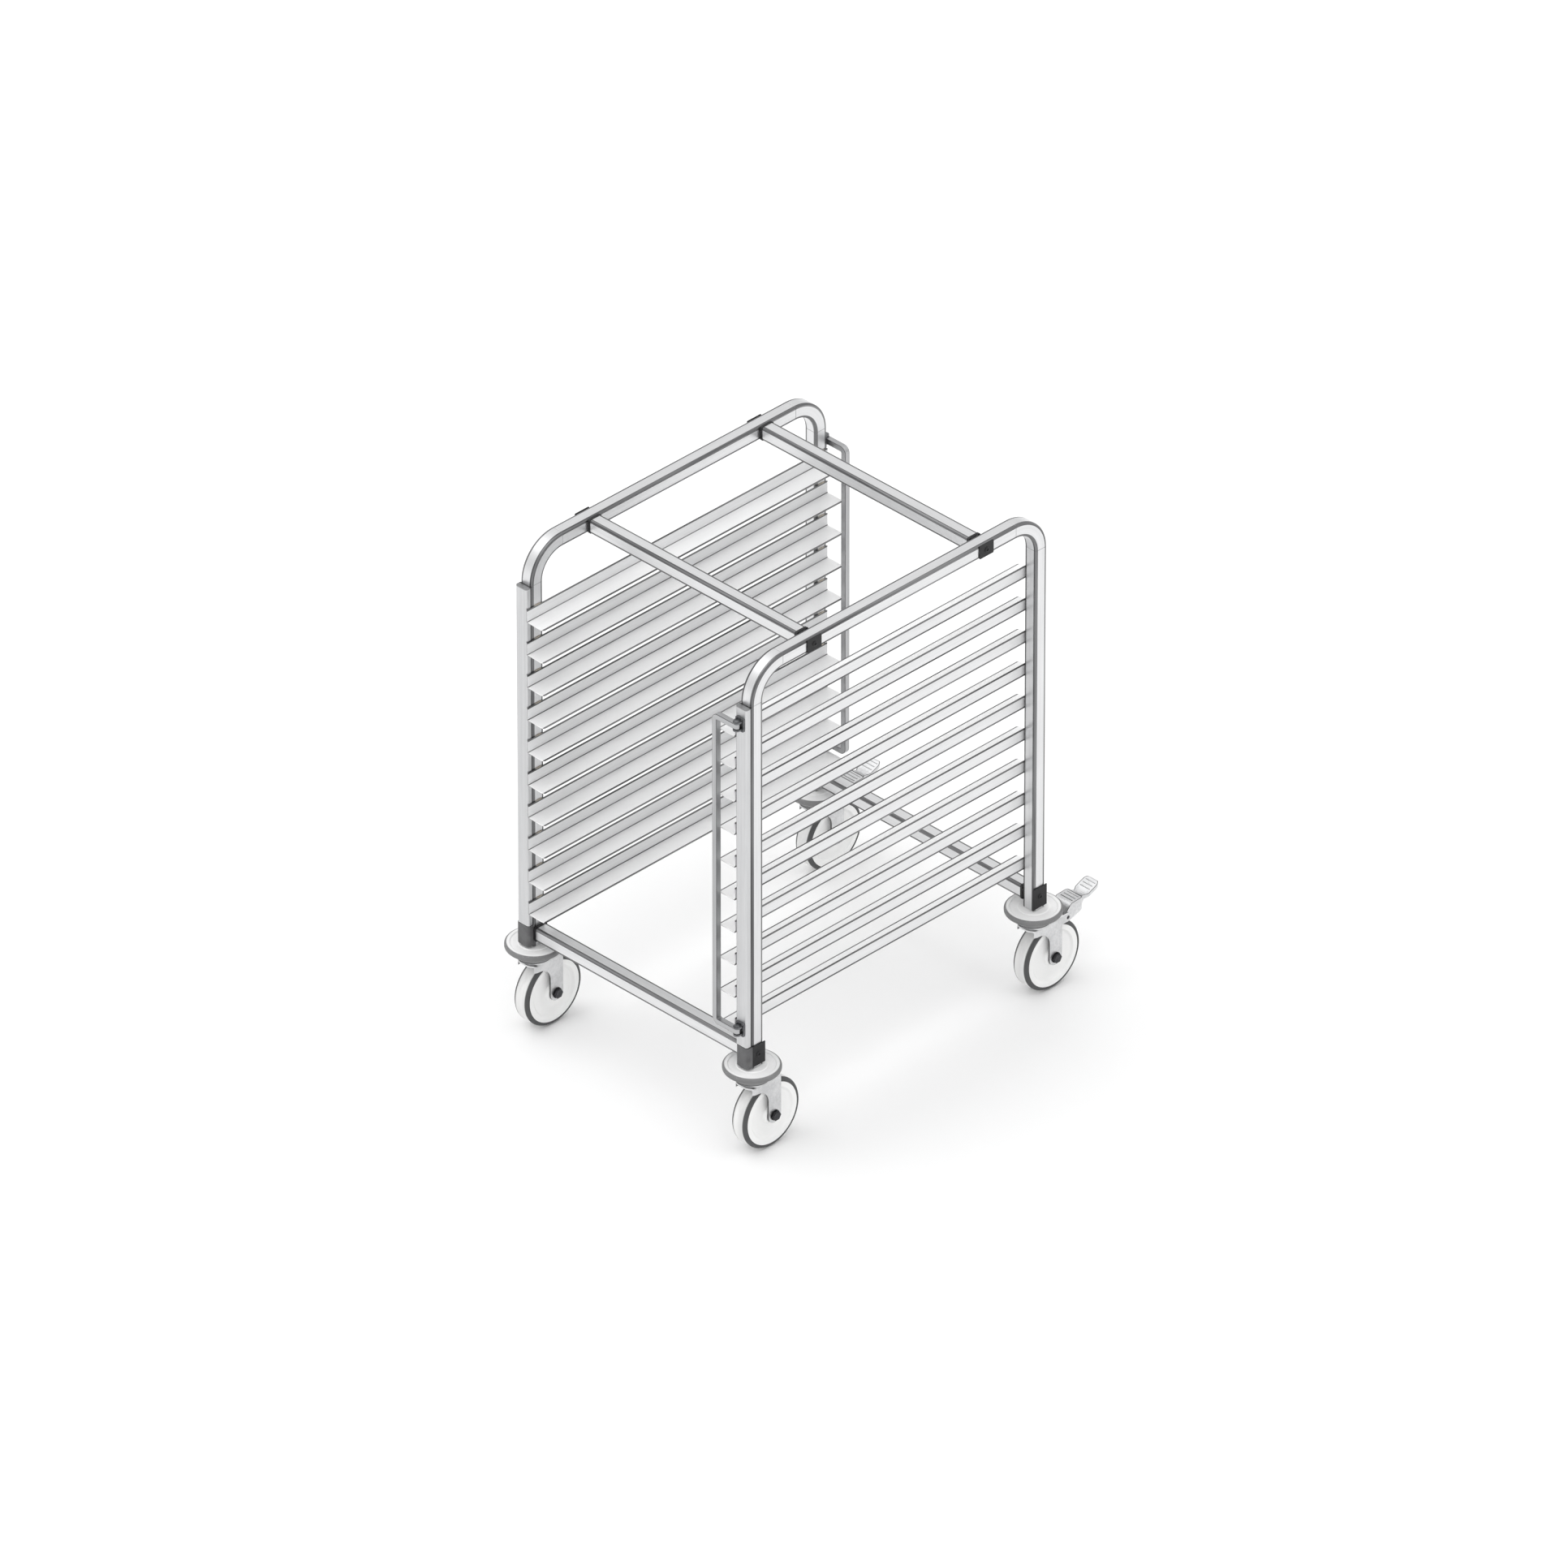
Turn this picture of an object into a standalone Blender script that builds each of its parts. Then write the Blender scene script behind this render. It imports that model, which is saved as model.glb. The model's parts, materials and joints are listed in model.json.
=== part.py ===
"""Half-height sheet pan rack on four swivel casters.

Two bent square-tube side frames are tied together by four crossbars.  Each side carries ten L-shaped
runners, and a swing-away retaining bar closes the front right and the rear left corner.  All sizes are in
metres, +Z is up, +X points to the rack's right and +Y to its rear.  The origin is on the floor, in the
middle of the outline of the whole rack.
"""
import math

import bmesh
import bpy
from mathutils import Matrix, Vector

# Driving dimensions of the frame
UPRIGHT_SPACING_X = 0.495      # between upright centres, left to right
UPRIGHT_SPACING_Y = 0.639      # between upright centres, front to rear
HEIGHT = 0.9245                # floor to the top of the side frames
TUBE = 0.025                   # side of the square tube
TUBE_WALL = 0.0015
TUBE_CORNER = 0.003            # flat across each tube corner
BEND_RADIUS = 0.0575           # at the centre line of the tube
UPRIGHT_FOOT_Z = 0.1665
UPPER_CROSSBAR_INSET = 0.126   # from an upright's centre towards the middle
LOWER_CROSSBAR_Z = 0.191
GAP = 0.0003                   # between faces that touch

# Runners
TIERS = 10
TIER_PITCH = 0.062
LOWEST_LEDGE_Z = 0.234         # underside of the lowest ledge
RUNNER_WEB = 0.024             # height of the upright leg
RUNNER_LEDGE = 0.0375          # depth of the ledge that a pan slides on
RUNNER_THICKNESS = 0.0015
RUNNER_BEND = 0.0025           # outside radius of the fold

# Channels on the front faces of the front uprights
CHANNEL_DEPTH = 0.012
CHANNEL_WALL = 0.0015
CHANNEL_CORNER = 0.007         # outside radius of its two folds
CHANNEL_TOP_Z = 0.853
CHANNEL_FOOT_Z = 0.2105

# Retaining bars and their hinge lugs
BAR_SIDE = 0.010
BAR_REACH = 0.046              # from hinge axis to the middle of the upright stretch
BAR_TOP_Z = 0.824
BAR_BOTTOM_Z = 0.2445
BAR_CORNER = 0.012             # outside radius of its two bends
HINGE_STANDOFF = 0.0088        # from the mounting face to the hinge axis
HINGE_PIN_RADIUS = 0.003
LUG_WIDTH = 0.018
LUG_PLATE = 0.003
LUG_HEIGHT = 0.025
EAR_THICKNESS = 0.003
EAR_SPREAD = 0.7               # width of an ear as a share of its plate

# Joint covers at the lower crossbars
COVER_THICKNESS = 0.002
COVER_LENGTH = 0.031
COVER_BOTTOM_Z = 0.170
COVER_TOP_Z = 0.209

# Casters; heights are above the floor, distances are from the swivel axis
WHEEL_RADIUS = 0.0625
WHEEL_WIDTH = 0.031
TRAIL = 0.030
AXLE_RADIUS = 0.006
RUNNING_CLEARANCE = 0.0002
FORK_INSIDE = 0.037
FORK_PLATE = 0.003
CROWN_TOP_Z = 0.134
CROWN_FRONT_Y = -0.024
CROWN_SKIRT_Z = 0.120          # lower edge of the fork's crown
SHOULDER_RADIUS = 0.026        # where the crown runs into a leg
RACE_TOP_Z = 0.141
RACE_RADIUS = 0.022
FLANGE_RADIUS = 0.023          # upper race, on the stem
LEG_RADIUS = 0.014             # half the width of a fork leg
BUMPER_RADIUS = 0.048
BUMPER_TOP_Z = 0.166
BUMPER_SEAT_Z = 0.1453         # where it sits on the stem's flange
BUMPER_SKIRT_Z = 0.1415        # lower edge of its skirt, round the flange
BUMPER_SKIRT_INSIDE = 0.0265
BUMPER_SKIRT_OUTSIDE = 0.0305
BUMPER_DISH = 0.0015           # depth of the dish in its top
STEM_RADIUS = 0.006
STEM_TOP_Z = 0.215
PEDAL_PIVOT_Y = 0.058
PEDAL_PIVOT_Z = 0.1265
PEDAL_PIN_RADIUS = 0.003
PEDAL_BARREL = 0.0055
PEDAL_REACH = 0.139
PEDAL_TIP_RADIUS = 0.003
PEDAL_TIP_RISE = 0.025         # of the middle of its tip above the pivot
EAR_RADIUS = 0.0075
CROWN_REAR_Y = 0.049            # where the crown of a braked fork ends between its ears

# Fineness of round shapes
BEND_STEPS = 8
ROUND_STEPS = 32
PIN_STEPS = 16
WELL_CLEAR = 0.1               # how far a cutting tool reaches past what it cuts

# Derived values
HALF_X = UPRIGHT_SPACING_X / 2
HALF_Y = UPRIGHT_SPACING_Y / 2
HALF_TUBE = TUBE / 2
INNER_FACE_X = HALF_X - HALF_TUBE
RAIL_Z = HEIGHT - HALF_TUBE
AXLE_Z = WHEEL_RADIUS
FRONT_EDGE_Y = -(HALF_Y + BUMPER_RADIUS)
REAR_EDGE_Y = HALF_Y + PEDAL_REACH
CENTRE_SHIFT_Y = -(FRONT_EDGE_Y + REAR_EDGE_Y) / 2
RUNNER_FRONT_Y = -(HALF_Y + HALF_TUBE + CHANNEL_DEPTH)
RUNNER_REAR_Y = HALF_Y + HALF_TUBE

CORNERS = {
    "left_front": (-1, -1),
    "right_front": (1, -1),
    "left_rear": (-1, 1),
    "right_rear": (1, 1),
}
BRAKED_CORNERS = ("left_rear", "right_rear")


# --- scene helpers ---------------------------------------------------------------------------------

def clear_scene():
    """Remove everything that a new scene starts with."""
    for obj in list(bpy.data.objects):
        bpy.data.objects.remove(obj)


def make_material(name, colour, roughness, metallic):
    """One Principled material."""
    material = bpy.data.materials.new(name)
    material.use_nodes = True
    shader = material.node_tree.nodes["Principled BSDF"]
    shader.inputs["Base Color"].default_value = (*colour, 1.0)
    shader.inputs["Roughness"].default_value = roughness
    shader.inputs["Metallic"].default_value = metallic
    return material


def make_empty(name, location, parent=None):
    """An empty that its children turn or move with."""
    empty = bpy.data.objects.new(name, None)
    empty.location = location
    empty.parent = parent
    bpy.context.scene.collection.objects.link(empty)
    return empty


def place(name, mesh, material, parent, location=(0, 0, 0), turn=0.0):
    """Put a mesh in the scene as one named sub-part; turn is about +Z."""
    obj = bpy.data.objects.new(name, mesh)
    obj.parent = parent
    obj.location = location
    obj.rotation_euler = (0, 0, turn)
    if not mesh.materials:
        mesh.materials.append(None)
    obj.material_slots[0].link = "OBJECT"
    obj.material_slots[0].material = material
    bpy.context.scene.collection.objects.link(obj)
    return obj


# --- shape helpers ---------------------------------------------------------------------------------

def finish_mesh(bm, name, smooth_angle=None):
    """Turn a bmesh into a mesh with its faces pointing out."""
    bmesh.ops.recalc_face_normals(bm, faces=bm.faces)
    mesh = bpy.data.meshes.new(name)
    bm.to_mesh(mesh)
    bm.free()
    if smooth_angle is not None:
        mesh.shade_smooth()
        mesh.set_sharp_from_angle(angle=math.radians(smooth_angle))
    return mesh


def arc(centre, radius, start, end, steps):
    """Points on an arc, in degrees, counting both ends."""
    points = []
    for step in range(steps + 1):
        angle = math.radians(start + (end - start) * step / steps)
        points.append((centre[0] + radius * math.cos(angle), centre[1] + radius * math.sin(angle)))
    return points


def rounded_square(side, flat):
    """Outline of a square tube whose corners are cut by a small flat."""
    half = side / 2
    cut = half - flat
    return [(half, -cut), (half, cut), (cut, half), (-cut, half),
            (-half, cut), (-half, -cut), (-cut, -half), (cut, -half)]


def prism(name, outline, thickness, to_world, smooth_angle=None):
    """Extrude a flat outline; to_world turns (u, v, w) into x, y, z, with w along the thickness."""
    bm = bmesh.new()
    base = [bm.verts.new(to_world(u, v, -thickness / 2)) for u, v in outline]
    face = bm.faces.new(base)
    lifted = bmesh.ops.extrude_face_region(bm, geom=[face])
    top = [item for item in lifted["geom"] if isinstance(item, bmesh.types.BMVert)]
    shift = Vector(to_world(0, 0, thickness)) - Vector(to_world(0, 0, 0))
    bmesh.ops.translate(bm, verts=top, vec=shift)
    return finish_mesh(bm, name, smooth_angle)


def along_x(u, v, w):
    """Outline in Y and Z, thickness along X."""
    return (w, u, v)


def along_y(u, v, w):
    """Outline in X and Z, thickness along Y."""
    return (u, w, v)


def along_z(u, v, w):
    """Outline in X and Y, thickness along Z."""
    return (u, v, w)


def box(name, low, high):
    """A plain block between two corners."""
    bm = bmesh.new()
    bmesh.ops.create_cube(bm, size=1.0)
    size = Vector(high) - Vector(low)
    middle = (Vector(high) + Vector(low)) / 2
    bmesh.ops.transform(bm, matrix=Matrix.Translation(middle) @ Matrix.Diagonal((*size, 1.0)), verts=bm.verts)
    return finish_mesh(bm, name)


def turned(name, profile, steps, closed=False, half_step=False, axis="Z", smooth_angle=40):
    """Solid of revolution; profile is (radius, height) and closed joins its end to its start."""
    bm = bmesh.new()
    rings = []
    for radius, height in profile:
        if radius == 0:
            rings.append([bm.verts.new((0, 0, height))])
            continue
        start = 0.5 if half_step else 0.0
        ring = []
        for step in range(steps):
            angle = math.tau * (step + start) / steps
            ring.append(bm.verts.new((radius * math.cos(angle), radius * math.sin(angle), height)))
        rings.append(ring)
    pairs = list(zip(rings, rings[1:]))
    if closed:
        pairs.append((rings[-1], rings[0]))
    for one, other in pairs:
        for step in range(steps):
            after = (step + 1) % steps
            if len(one) == 1:
                bm.faces.new((one[0], other[step], other[after]))
            elif len(other) == 1:
                bm.faces.new((one[step], other[0], one[after]))
            else:
                bm.faces.new((one[step], other[step], other[after], one[after]))
    if axis == "X":
        bmesh.ops.rotate(bm, verts=bm.verts, cent=(0, 0, 0), matrix=Matrix.Rotation(math.pi / 2, 3, "Y"))
    return finish_mesh(bm, name, smooth_angle)


def cylinder(name, radius, low, high, steps, axis="Z", centre=(0, 0)):
    """A closed cylinder along Z or X; centre is its place across that axis."""
    mesh = turned(name, [(0, low), (radius, low), (radius, high), (0, high)], steps, axis=axis)
    across = (centre[0], centre[1], 0) if axis == "Z" else (0, centre[0], centre[1])
    mesh.transform(Matrix.Translation(across))
    return mesh


def combine(mesh, other, operation):
    """Exact boolean of two meshes; both are used up and the result is returned."""
    scene = bpy.context.scene
    target = bpy.data.objects.new("boolean_target", mesh)
    tool = bpy.data.objects.new("boolean_tool", other)
    scene.collection.objects.link(target)
    scene.collection.objects.link(tool)
    modifier = target.modifiers.new("boolean", "BOOLEAN")
    modifier.operation = operation
    modifier.solver = "EXACT"
    modifier.object = tool
    graph = bpy.context.evaluated_depsgraph_get()
    result = bpy.data.meshes.new_from_object(target.evaluated_get(graph))
    result.name = mesh.name
    bpy.data.objects.remove(target)
    bpy.data.objects.remove(tool)
    return result


def hollow_sweep(name, path, outer, inner):
    """Tube along a path of (centre, across) pairs; section u runs along X and v along across."""
    bm = bmesh.new()
    skins = []
    for outline in (outer, inner):
        rings = []
        for centre, across in path:
            rings.append([bm.verts.new(centre + Vector((u, 0, 0)) + across * v) for u, v in outline])
        skins.append(rings)
    count = len(outer)
    for rings in skins:
        for one, other in zip(rings, rings[1:]):
            for step in range(count):
                after = (step + 1) % count
                bm.faces.new((one[step], one[after], other[after], other[step]))
    for end in (0, -1):
        for step in range(count):
            after = (step + 1) % count
            bm.faces.new((skins[0][end][step], skins[0][end][after],
                          skins[1][end][after], skins[1][end][step]))
    return finish_mesh(bm, name, smooth_angle=30)


# --- frame -----------------------------------------------------------------------------------------

def side_frame_mesh():
    """Inverted U of square tube: two uprights and the rail that joins them, in one bent length."""
    bend_y = HALF_Y - BEND_RADIUS
    bend_z = RAIL_Z - BEND_RADIUS
    path = [(Vector((0, -HALF_Y, UPRIGHT_FOOT_Z)), Vector((0, -1, 0)))]
    for side, start, end in ((-1, 180, 90), (1, 90, 0)):
        for y, z in arc((0, 0), 1.0, start, end, BEND_STEPS):
            across = Vector((0, y, z))
            path.append((Vector((0, side * bend_y, bend_z)) + across * BEND_RADIUS, across))
    path.append((Vector((0, HALF_Y, UPRIGHT_FOOT_Z)), Vector((0, 1, 0))))
    outer = rounded_square(TUBE, TUBE_CORNER)
    inner = rounded_square(TUBE - 2 * TUBE_WALL, TUBE_CORNER - TUBE_WALL)
    return hollow_sweep("side_frame", path, outer, inner)


def crossbar_mesh():
    """Straight square tube that fits between the inner faces of the two side frames."""
    half = INNER_FACE_X - GAP
    outer = rounded_square(TUBE, TUBE_CORNER)
    inner = rounded_square(TUBE - 2 * TUBE_WALL, TUBE_CORNER - TUBE_WALL)
    up = Vector((0, 0, 1))
    mesh = hollow_sweep("crossbar", [(Vector((0, -half, 0)), up), (Vector((0, half, 0)), up)], outer, inner)
    mesh.transform(Matrix.Rotation(math.pi / 2, 4, "Z"))
    return mesh


def channel_mesh():
    """Folded channel on a front upright, open towards the tube."""
    half = HALF_TUBE
    wall = CHANNEL_WALL
    depth = CHANNEL_DEPTH - GAP
    radius = CHANNEL_CORNER
    outline = [(-half, 0)]
    outline += arc((radius - half, radius - depth), radius, 180, 270, 4)
    outline += arc((half - radius, radius - depth), radius, 270, 360, 4)
    outline += [(half, 0), (half - wall, 0)]
    outline += arc((half - radius, radius - depth), radius - wall, 360, 270, 4)
    outline += arc((radius - half, radius - depth), radius - wall, 270, 180, 4)
    outline += [(wall - half, 0)]
    return prism("channel", outline, CHANNEL_TOP_Z - CHANNEL_FOOT_Z, along_z, smooth_angle=35)


def runner_mesh():
    """L-shaped runner: web against the upright at u = 0, ledge towards -X, folded at its foot."""
    thickness = RUNNER_THICKNESS
    inside = RUNNER_BEND - thickness
    outline = [(-thickness, RUNNER_WEB), (0, RUNNER_WEB)]
    outline += arc((-RUNNER_BEND, RUNNER_BEND), RUNNER_BEND, 0, -90, 3)
    outline += [(-RUNNER_LEDGE, 0), (-RUNNER_LEDGE, thickness)]
    outline += arc((-RUNNER_BEND, RUNNER_BEND), inside, -90, 0, 3)
    length = RUNNER_REAR_Y - RUNNER_FRONT_Y
    return prism("runner", outline, length, along_y, smooth_angle=35)


def build_frame(root, steel):
    """Side frames, crossbars and the two front channels."""
    side_frame = side_frame_mesh()
    place("left_side_frame", side_frame, steel, root, (-HALF_X, 0, 0))
    place("right_side_frame", side_frame, steel, root, (HALF_X, 0, 0))
    crossbar = crossbar_mesh()
    upper_y = HALF_Y - UPPER_CROSSBAR_INSET
    place("upper_crossbar_front", crossbar, steel, root, (0, -upper_y, RAIL_Z))
    place("upper_crossbar_rear", crossbar, steel, root, (0, upper_y, RAIL_Z))
    place("lower_crossbar_front", crossbar, steel, root, (0, -HALF_Y, LOWER_CROSSBAR_Z))
    place("lower_crossbar_rear", crossbar, steel, root, (0, HALF_Y, LOWER_CROSSBAR_Z))
    channel = channel_mesh()
    front_y = -(HALF_Y + HALF_TUBE + GAP)
    middle_z = (CHANNEL_TOP_Z + CHANNEL_FOOT_Z) / 2
    place("left_front_channel", channel, steel, root, (-HALF_X, front_y, middle_z))
    place("right_front_channel", channel, steel, root, (HALF_X, front_y, middle_z))


def build_runners(root, steel):
    """Ten runners on each side, numbered from the bottom."""
    runner = runner_mesh()
    middle_y = (RUNNER_FRONT_Y + RUNNER_REAR_Y) / 2
    mirrored = runner.copy()
    mirrored.transform(Matrix.Scale(-1, 4, (1, 0, 0)))
    mirrored.flip_normals()
    for tier in range(TIERS):
        height = LOWEST_LEDGE_Z + tier * TIER_PITCH
        number = f"{tier + 1:02d}"
        place(f"left_runner_{number}", mirrored, steel, root, (-(INNER_FACE_X - GAP), middle_y, height))
        place(f"right_runner_{number}", runner, steel, root, (INNER_FACE_X - GAP, middle_y, height))


def build_joint_covers(root, plastic):
    """Black covers over the ends of the lower crossbars; the front ones also foot the channels."""
    height = COVER_TOP_Z - COVER_BOTTOM_Z
    middle_z = (COVER_TOP_Z + COVER_BOTTOM_Z) / 2
    near = HALF_TUBE + GAP
    far = near + COVER_THICKNESS
    rear_half = COVER_LENGTH / 2
    front_y = -(HALF_TUBE + CHANNEL_DEPTH)
    for corner, (side, end) in CORNERS.items():
        if end > 0:
            outline = [(near, -rear_half), (far, -rear_half), (far, rear_half), (near, rear_half)]
        else:
            outline = [(near, rear_half), (near, -near), (-HALF_TUBE, -near), (-HALF_TUBE, front_y),
                       (far, front_y), (far, rear_half)]
        outline = [(side * x, y) for x, y in outline]
        mesh = prism(f"cover_{corner}", outline, height, along_z)
        place(f"joint_cover_{corner}", mesh, plastic, root, (side * HALF_X, end * HALF_Y, middle_z))


# --- retaining bars --------------------------------------------------------------------------------

def retaining_bar_mesh():
    """C-shaped bar; the hinge axis is local Z, the arms reach along -X, and local z = 0 is its middle."""
    half_height = (BAR_TOP_Z - BAR_BOTTOM_Z) / 2
    half = BAR_SIDE / 2
    far = -BAR_REACH - half
    near = -BAR_REACH + half
    top = half_height + half
    below = half_height - half
    inside = BAR_CORNER - BAR_SIDE
    side_view = [(half * 2, top)]
    side_view += arc((far + BAR_CORNER, top - BAR_CORNER), BAR_CORNER, 90, 180, 4)
    side_view += arc((far + BAR_CORNER, BAR_CORNER - top), BAR_CORNER, 180, 270, 4)
    side_view += [(half * 2, -top), (half * 2, -below)]
    side_view += arc((near + inside, inside - below), inside, 270, 180, 2)
    side_view += arc((near + inside, below - inside), inside, 180, 90, 2)
    side_view += [(half * 2, below)]
    mesh = prism("retaining_bar", side_view, BAR_SIDE * 2, along_y)
    plan_view = arc((0, 0), half, -90, 90, 8) + [(far * 2, half), (far * 2, -half)]
    mesh = combine(mesh, prism("plan", plan_view, top * 3, along_z), "INTERSECT")
    hole = cylinder("hole", HINGE_PIN_RADIUS + GAP, -top * 2, top * 2, PIN_STEPS)
    mesh = combine(mesh, hole, "DIFFERENCE")
    mesh.shade_smooth()
    mesh.set_sharp_from_angle(angle=math.radians(35))
    return mesh


def hinge_lug_mesh():
    """Plate with two ears and the pin between them; the pin is local Z and the plate faces +Y."""
    plate_back = HINGE_STANDOFF - GAP
    plate_front = plate_back - LUG_PLATE
    half = LUG_WIDTH / 2
    ear_inside = BAR_SIDE / 2 + GAP
    ear_outside = ear_inside + EAR_THICKNESS
    ear_front = -BAR_SIDE / 2 - RUNNER_THICKNESS
    mesh = box("hinge_lug", (-half, plate_front, -LUG_HEIGHT / 2), (half, plate_back, LUG_HEIGHT / 2))
    overlap = LUG_PLATE / 2
    ear_half = half * EAR_SPREAD
    for low, high in ((ear_inside, ear_outside), (-ear_outside, -ear_inside)):
        ear = box("ear", (-ear_half, ear_front, low), (ear_half, plate_front + overlap, high))
        mesh = combine(mesh, ear, "UNION")
    pin = cylinder("pin", HINGE_PIN_RADIUS, -ear_outside + overlap / 2, ear_outside - overlap / 2, PIN_STEPS)
    return combine(mesh, pin, "UNION")


def build_retaining_bars(root, steel, zinc):
    """Front right bar on the channel, rear left bar on the bare tube, each with two lugs."""
    bar = retaining_bar_mesh()
    lug = hinge_lug_mesh()
    front_axis_y = -(HALF_Y + HALF_TUBE + CHANNEL_DEPTH + HINGE_STANDOFF)
    rear_axis_y = HALF_Y + HALF_TUBE + HINGE_STANDOFF
    middle_z = (BAR_TOP_Z + BAR_BOTTOM_Z) / 2
    for name, x, y, turn in (("front", HALF_X, front_axis_y, 0.0), ("rear", -HALF_X, rear_axis_y, math.pi)):
        hinge = make_empty(f"{name}_bar_hinge", (x, y, middle_z), root)
        place(f"{name}_retaining_bar", bar, steel, hinge, turn=turn)
        place(f"{name}_bar_lug_upper", lug, zinc, root, (x, y, BAR_TOP_Z), turn)
        place(f"{name}_bar_lug_lower", lug, zinc, root, (x, y, BAR_BOTTOM_Z), turn)


# --- casters ---------------------------------------------------------------------------------------

def fork_mesh(braked):
    """Folded fork: crown, two legs and the lower race; a braked one has ears for the pedal."""
    leg_front = TRAIL - LEG_RADIUS
    leg_rear = TRAIL + LEG_RADIUS
    shoulder = SHOULDER_RADIUS
    outline = [(CROWN_FRONT_Y, CROWN_TOP_Z), (CROWN_FRONT_Y, CROWN_SKIRT_Z)]
    outline += arc((leg_front - shoulder, CROWN_SKIRT_Z - shoulder), shoulder, 90, 0, 5)
    outline += arc((TRAIL, AXLE_Z), LEG_RADIUS, 180, 360, 10)
    if braked:
        ear_bottom = PEDAL_PIVOT_Z - EAR_RADIUS
        outline += [(leg_rear, ear_bottom)]
        outline += arc((PEDAL_PIVOT_Y, PEDAL_PIVOT_Z), EAR_RADIUS, -90, 90, 8)
    else:
        outline += [(leg_rear, CROWN_TOP_Z)]
    outside = FORK_INSIDE + 2 * FORK_PLATE
    mesh = prism("fork", outline, outside, along_x)
    half = FORK_INSIDE / 2
    room = box("room", (-half, -WELL_CLEAR, 0), (half, WELL_CLEAR, CROWN_TOP_Z - FORK_PLATE))
    mesh = combine(mesh, room, "DIFFERENCE")
    if braked:
        notch = box("notch", (-half, CROWN_REAR_Y, AXLE_Z), (half, WELL_CLEAR, CROWN_TOP_Z + WELL_CLEAR))
        mesh = combine(mesh, notch, "DIFFERENCE")
    race = cylinder("race", RACE_RADIUS, CROWN_TOP_Z - FORK_PLATE / 2, RACE_TOP_Z, ROUND_STEPS)
    mesh = combine(mesh, race, "UNION")
    holes = [(AXLE_RADIUS + RUNNING_CLEARANCE, TRAIL, AXLE_Z)]
    if braked:
        holes.append((PEDAL_PIN_RADIUS + RUNNING_CLEARANCE, PEDAL_PIVOT_Y, PEDAL_PIVOT_Z))
    for radius, y, z in holes:
        drill = cylinder("drill", radius, -outside, outside, PIN_STEPS, axis="X", centre=(y, z))
        mesh = combine(mesh, drill, "DIFFERENCE")
    mesh.shade_smooth()
    mesh.set_sharp_from_angle(angle=math.radians(30))
    return mesh


def wheel_mesh():
    """Wheel with its tyre and hub, axle hole along X; a flat of its outline is level with the floor."""
    half = WHEEL_WIDTH / 2
    hub_half = FORK_INSIDE / 2 - 0.001
    flat_to_corner = 1 / math.cos(math.pi / ROUND_STEPS)
    bore = (AXLE_RADIUS + RUNNING_CLEARANCE) * flat_to_corner
    rim = WHEEL_RADIUS * flat_to_corner
    shoulder = 0.005
    web_half = half - 0.003
    right = [(rim, half - shoulder), (rim - shoulder, half), (0.048, half), (0.045, web_half),
             (0.016, web_half), (0.015, hub_half), (bore, hub_half)]
    left = [(radius, -height) for radius, height in reversed(right)]
    return turned("wheel", right + left, ROUND_STEPS, closed=True, half_step=True, axis="X")


def axle_mesh():
    """Axle bolt with its head and nut outside the fork legs."""
    shank = FORK_INSIDE / 2 + FORK_PLATE + GAP
    head = shank + 0.0055
    head_radius = 0.0095
    chamfer = 0.001
    right = [(AXLE_RADIUS, shank), (head_radius, shank), (head_radius, head - chamfer),
             (head_radius - chamfer, head), (0, head)]
    profile = [(radius, -height) for radius, height in reversed(right)] + right
    return turned("axle", profile, PIN_STEPS, axis="X")


def bumper_mesh():
    """Round bumper ring under an upright: a cone with a skirt, a round shoulder and a dished top."""
    bore = STEM_RADIUS + GAP
    shoulder = 0.0075
    dish_z = BUMPER_TOP_Z - BUMPER_DISH
    profile = [(bore, BUMPER_SEAT_Z), (BUMPER_SKIRT_INSIDE, BUMPER_SEAT_Z),
               (BUMPER_SKIRT_INSIDE, BUMPER_SKIRT_Z), (BUMPER_SKIRT_OUTSIDE, BUMPER_SKIRT_Z)]
    profile += arc((BUMPER_RADIUS - shoulder, BUMPER_TOP_Z - shoulder), shoulder, 0, 90, 4)
    profile += [(0.0385, dish_z), (0.026, dish_z), (0.024, BUMPER_TOP_Z), (bore, BUMPER_TOP_Z)]
    return turned("bumper", profile, ROUND_STEPS, closed=True)


def stem_mesh():
    """Caster stem: upper race under the bumper and a bolt up into the tube."""
    flange_bottom = RACE_TOP_Z + GAP
    flange_top = BUMPER_SEAT_Z - GAP
    chamfer = 0.001
    profile = [(0, flange_bottom), (FLANGE_RADIUS, flange_bottom), (FLANGE_RADIUS, flange_top),
               (STEM_RADIUS, flange_top), (STEM_RADIUS, STEM_TOP_Z - chamfer),
               (STEM_RADIUS - chamfer, STEM_TOP_Z), (0, STEM_TOP_Z)]
    return turned("stem", profile, PIN_STEPS)


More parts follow.
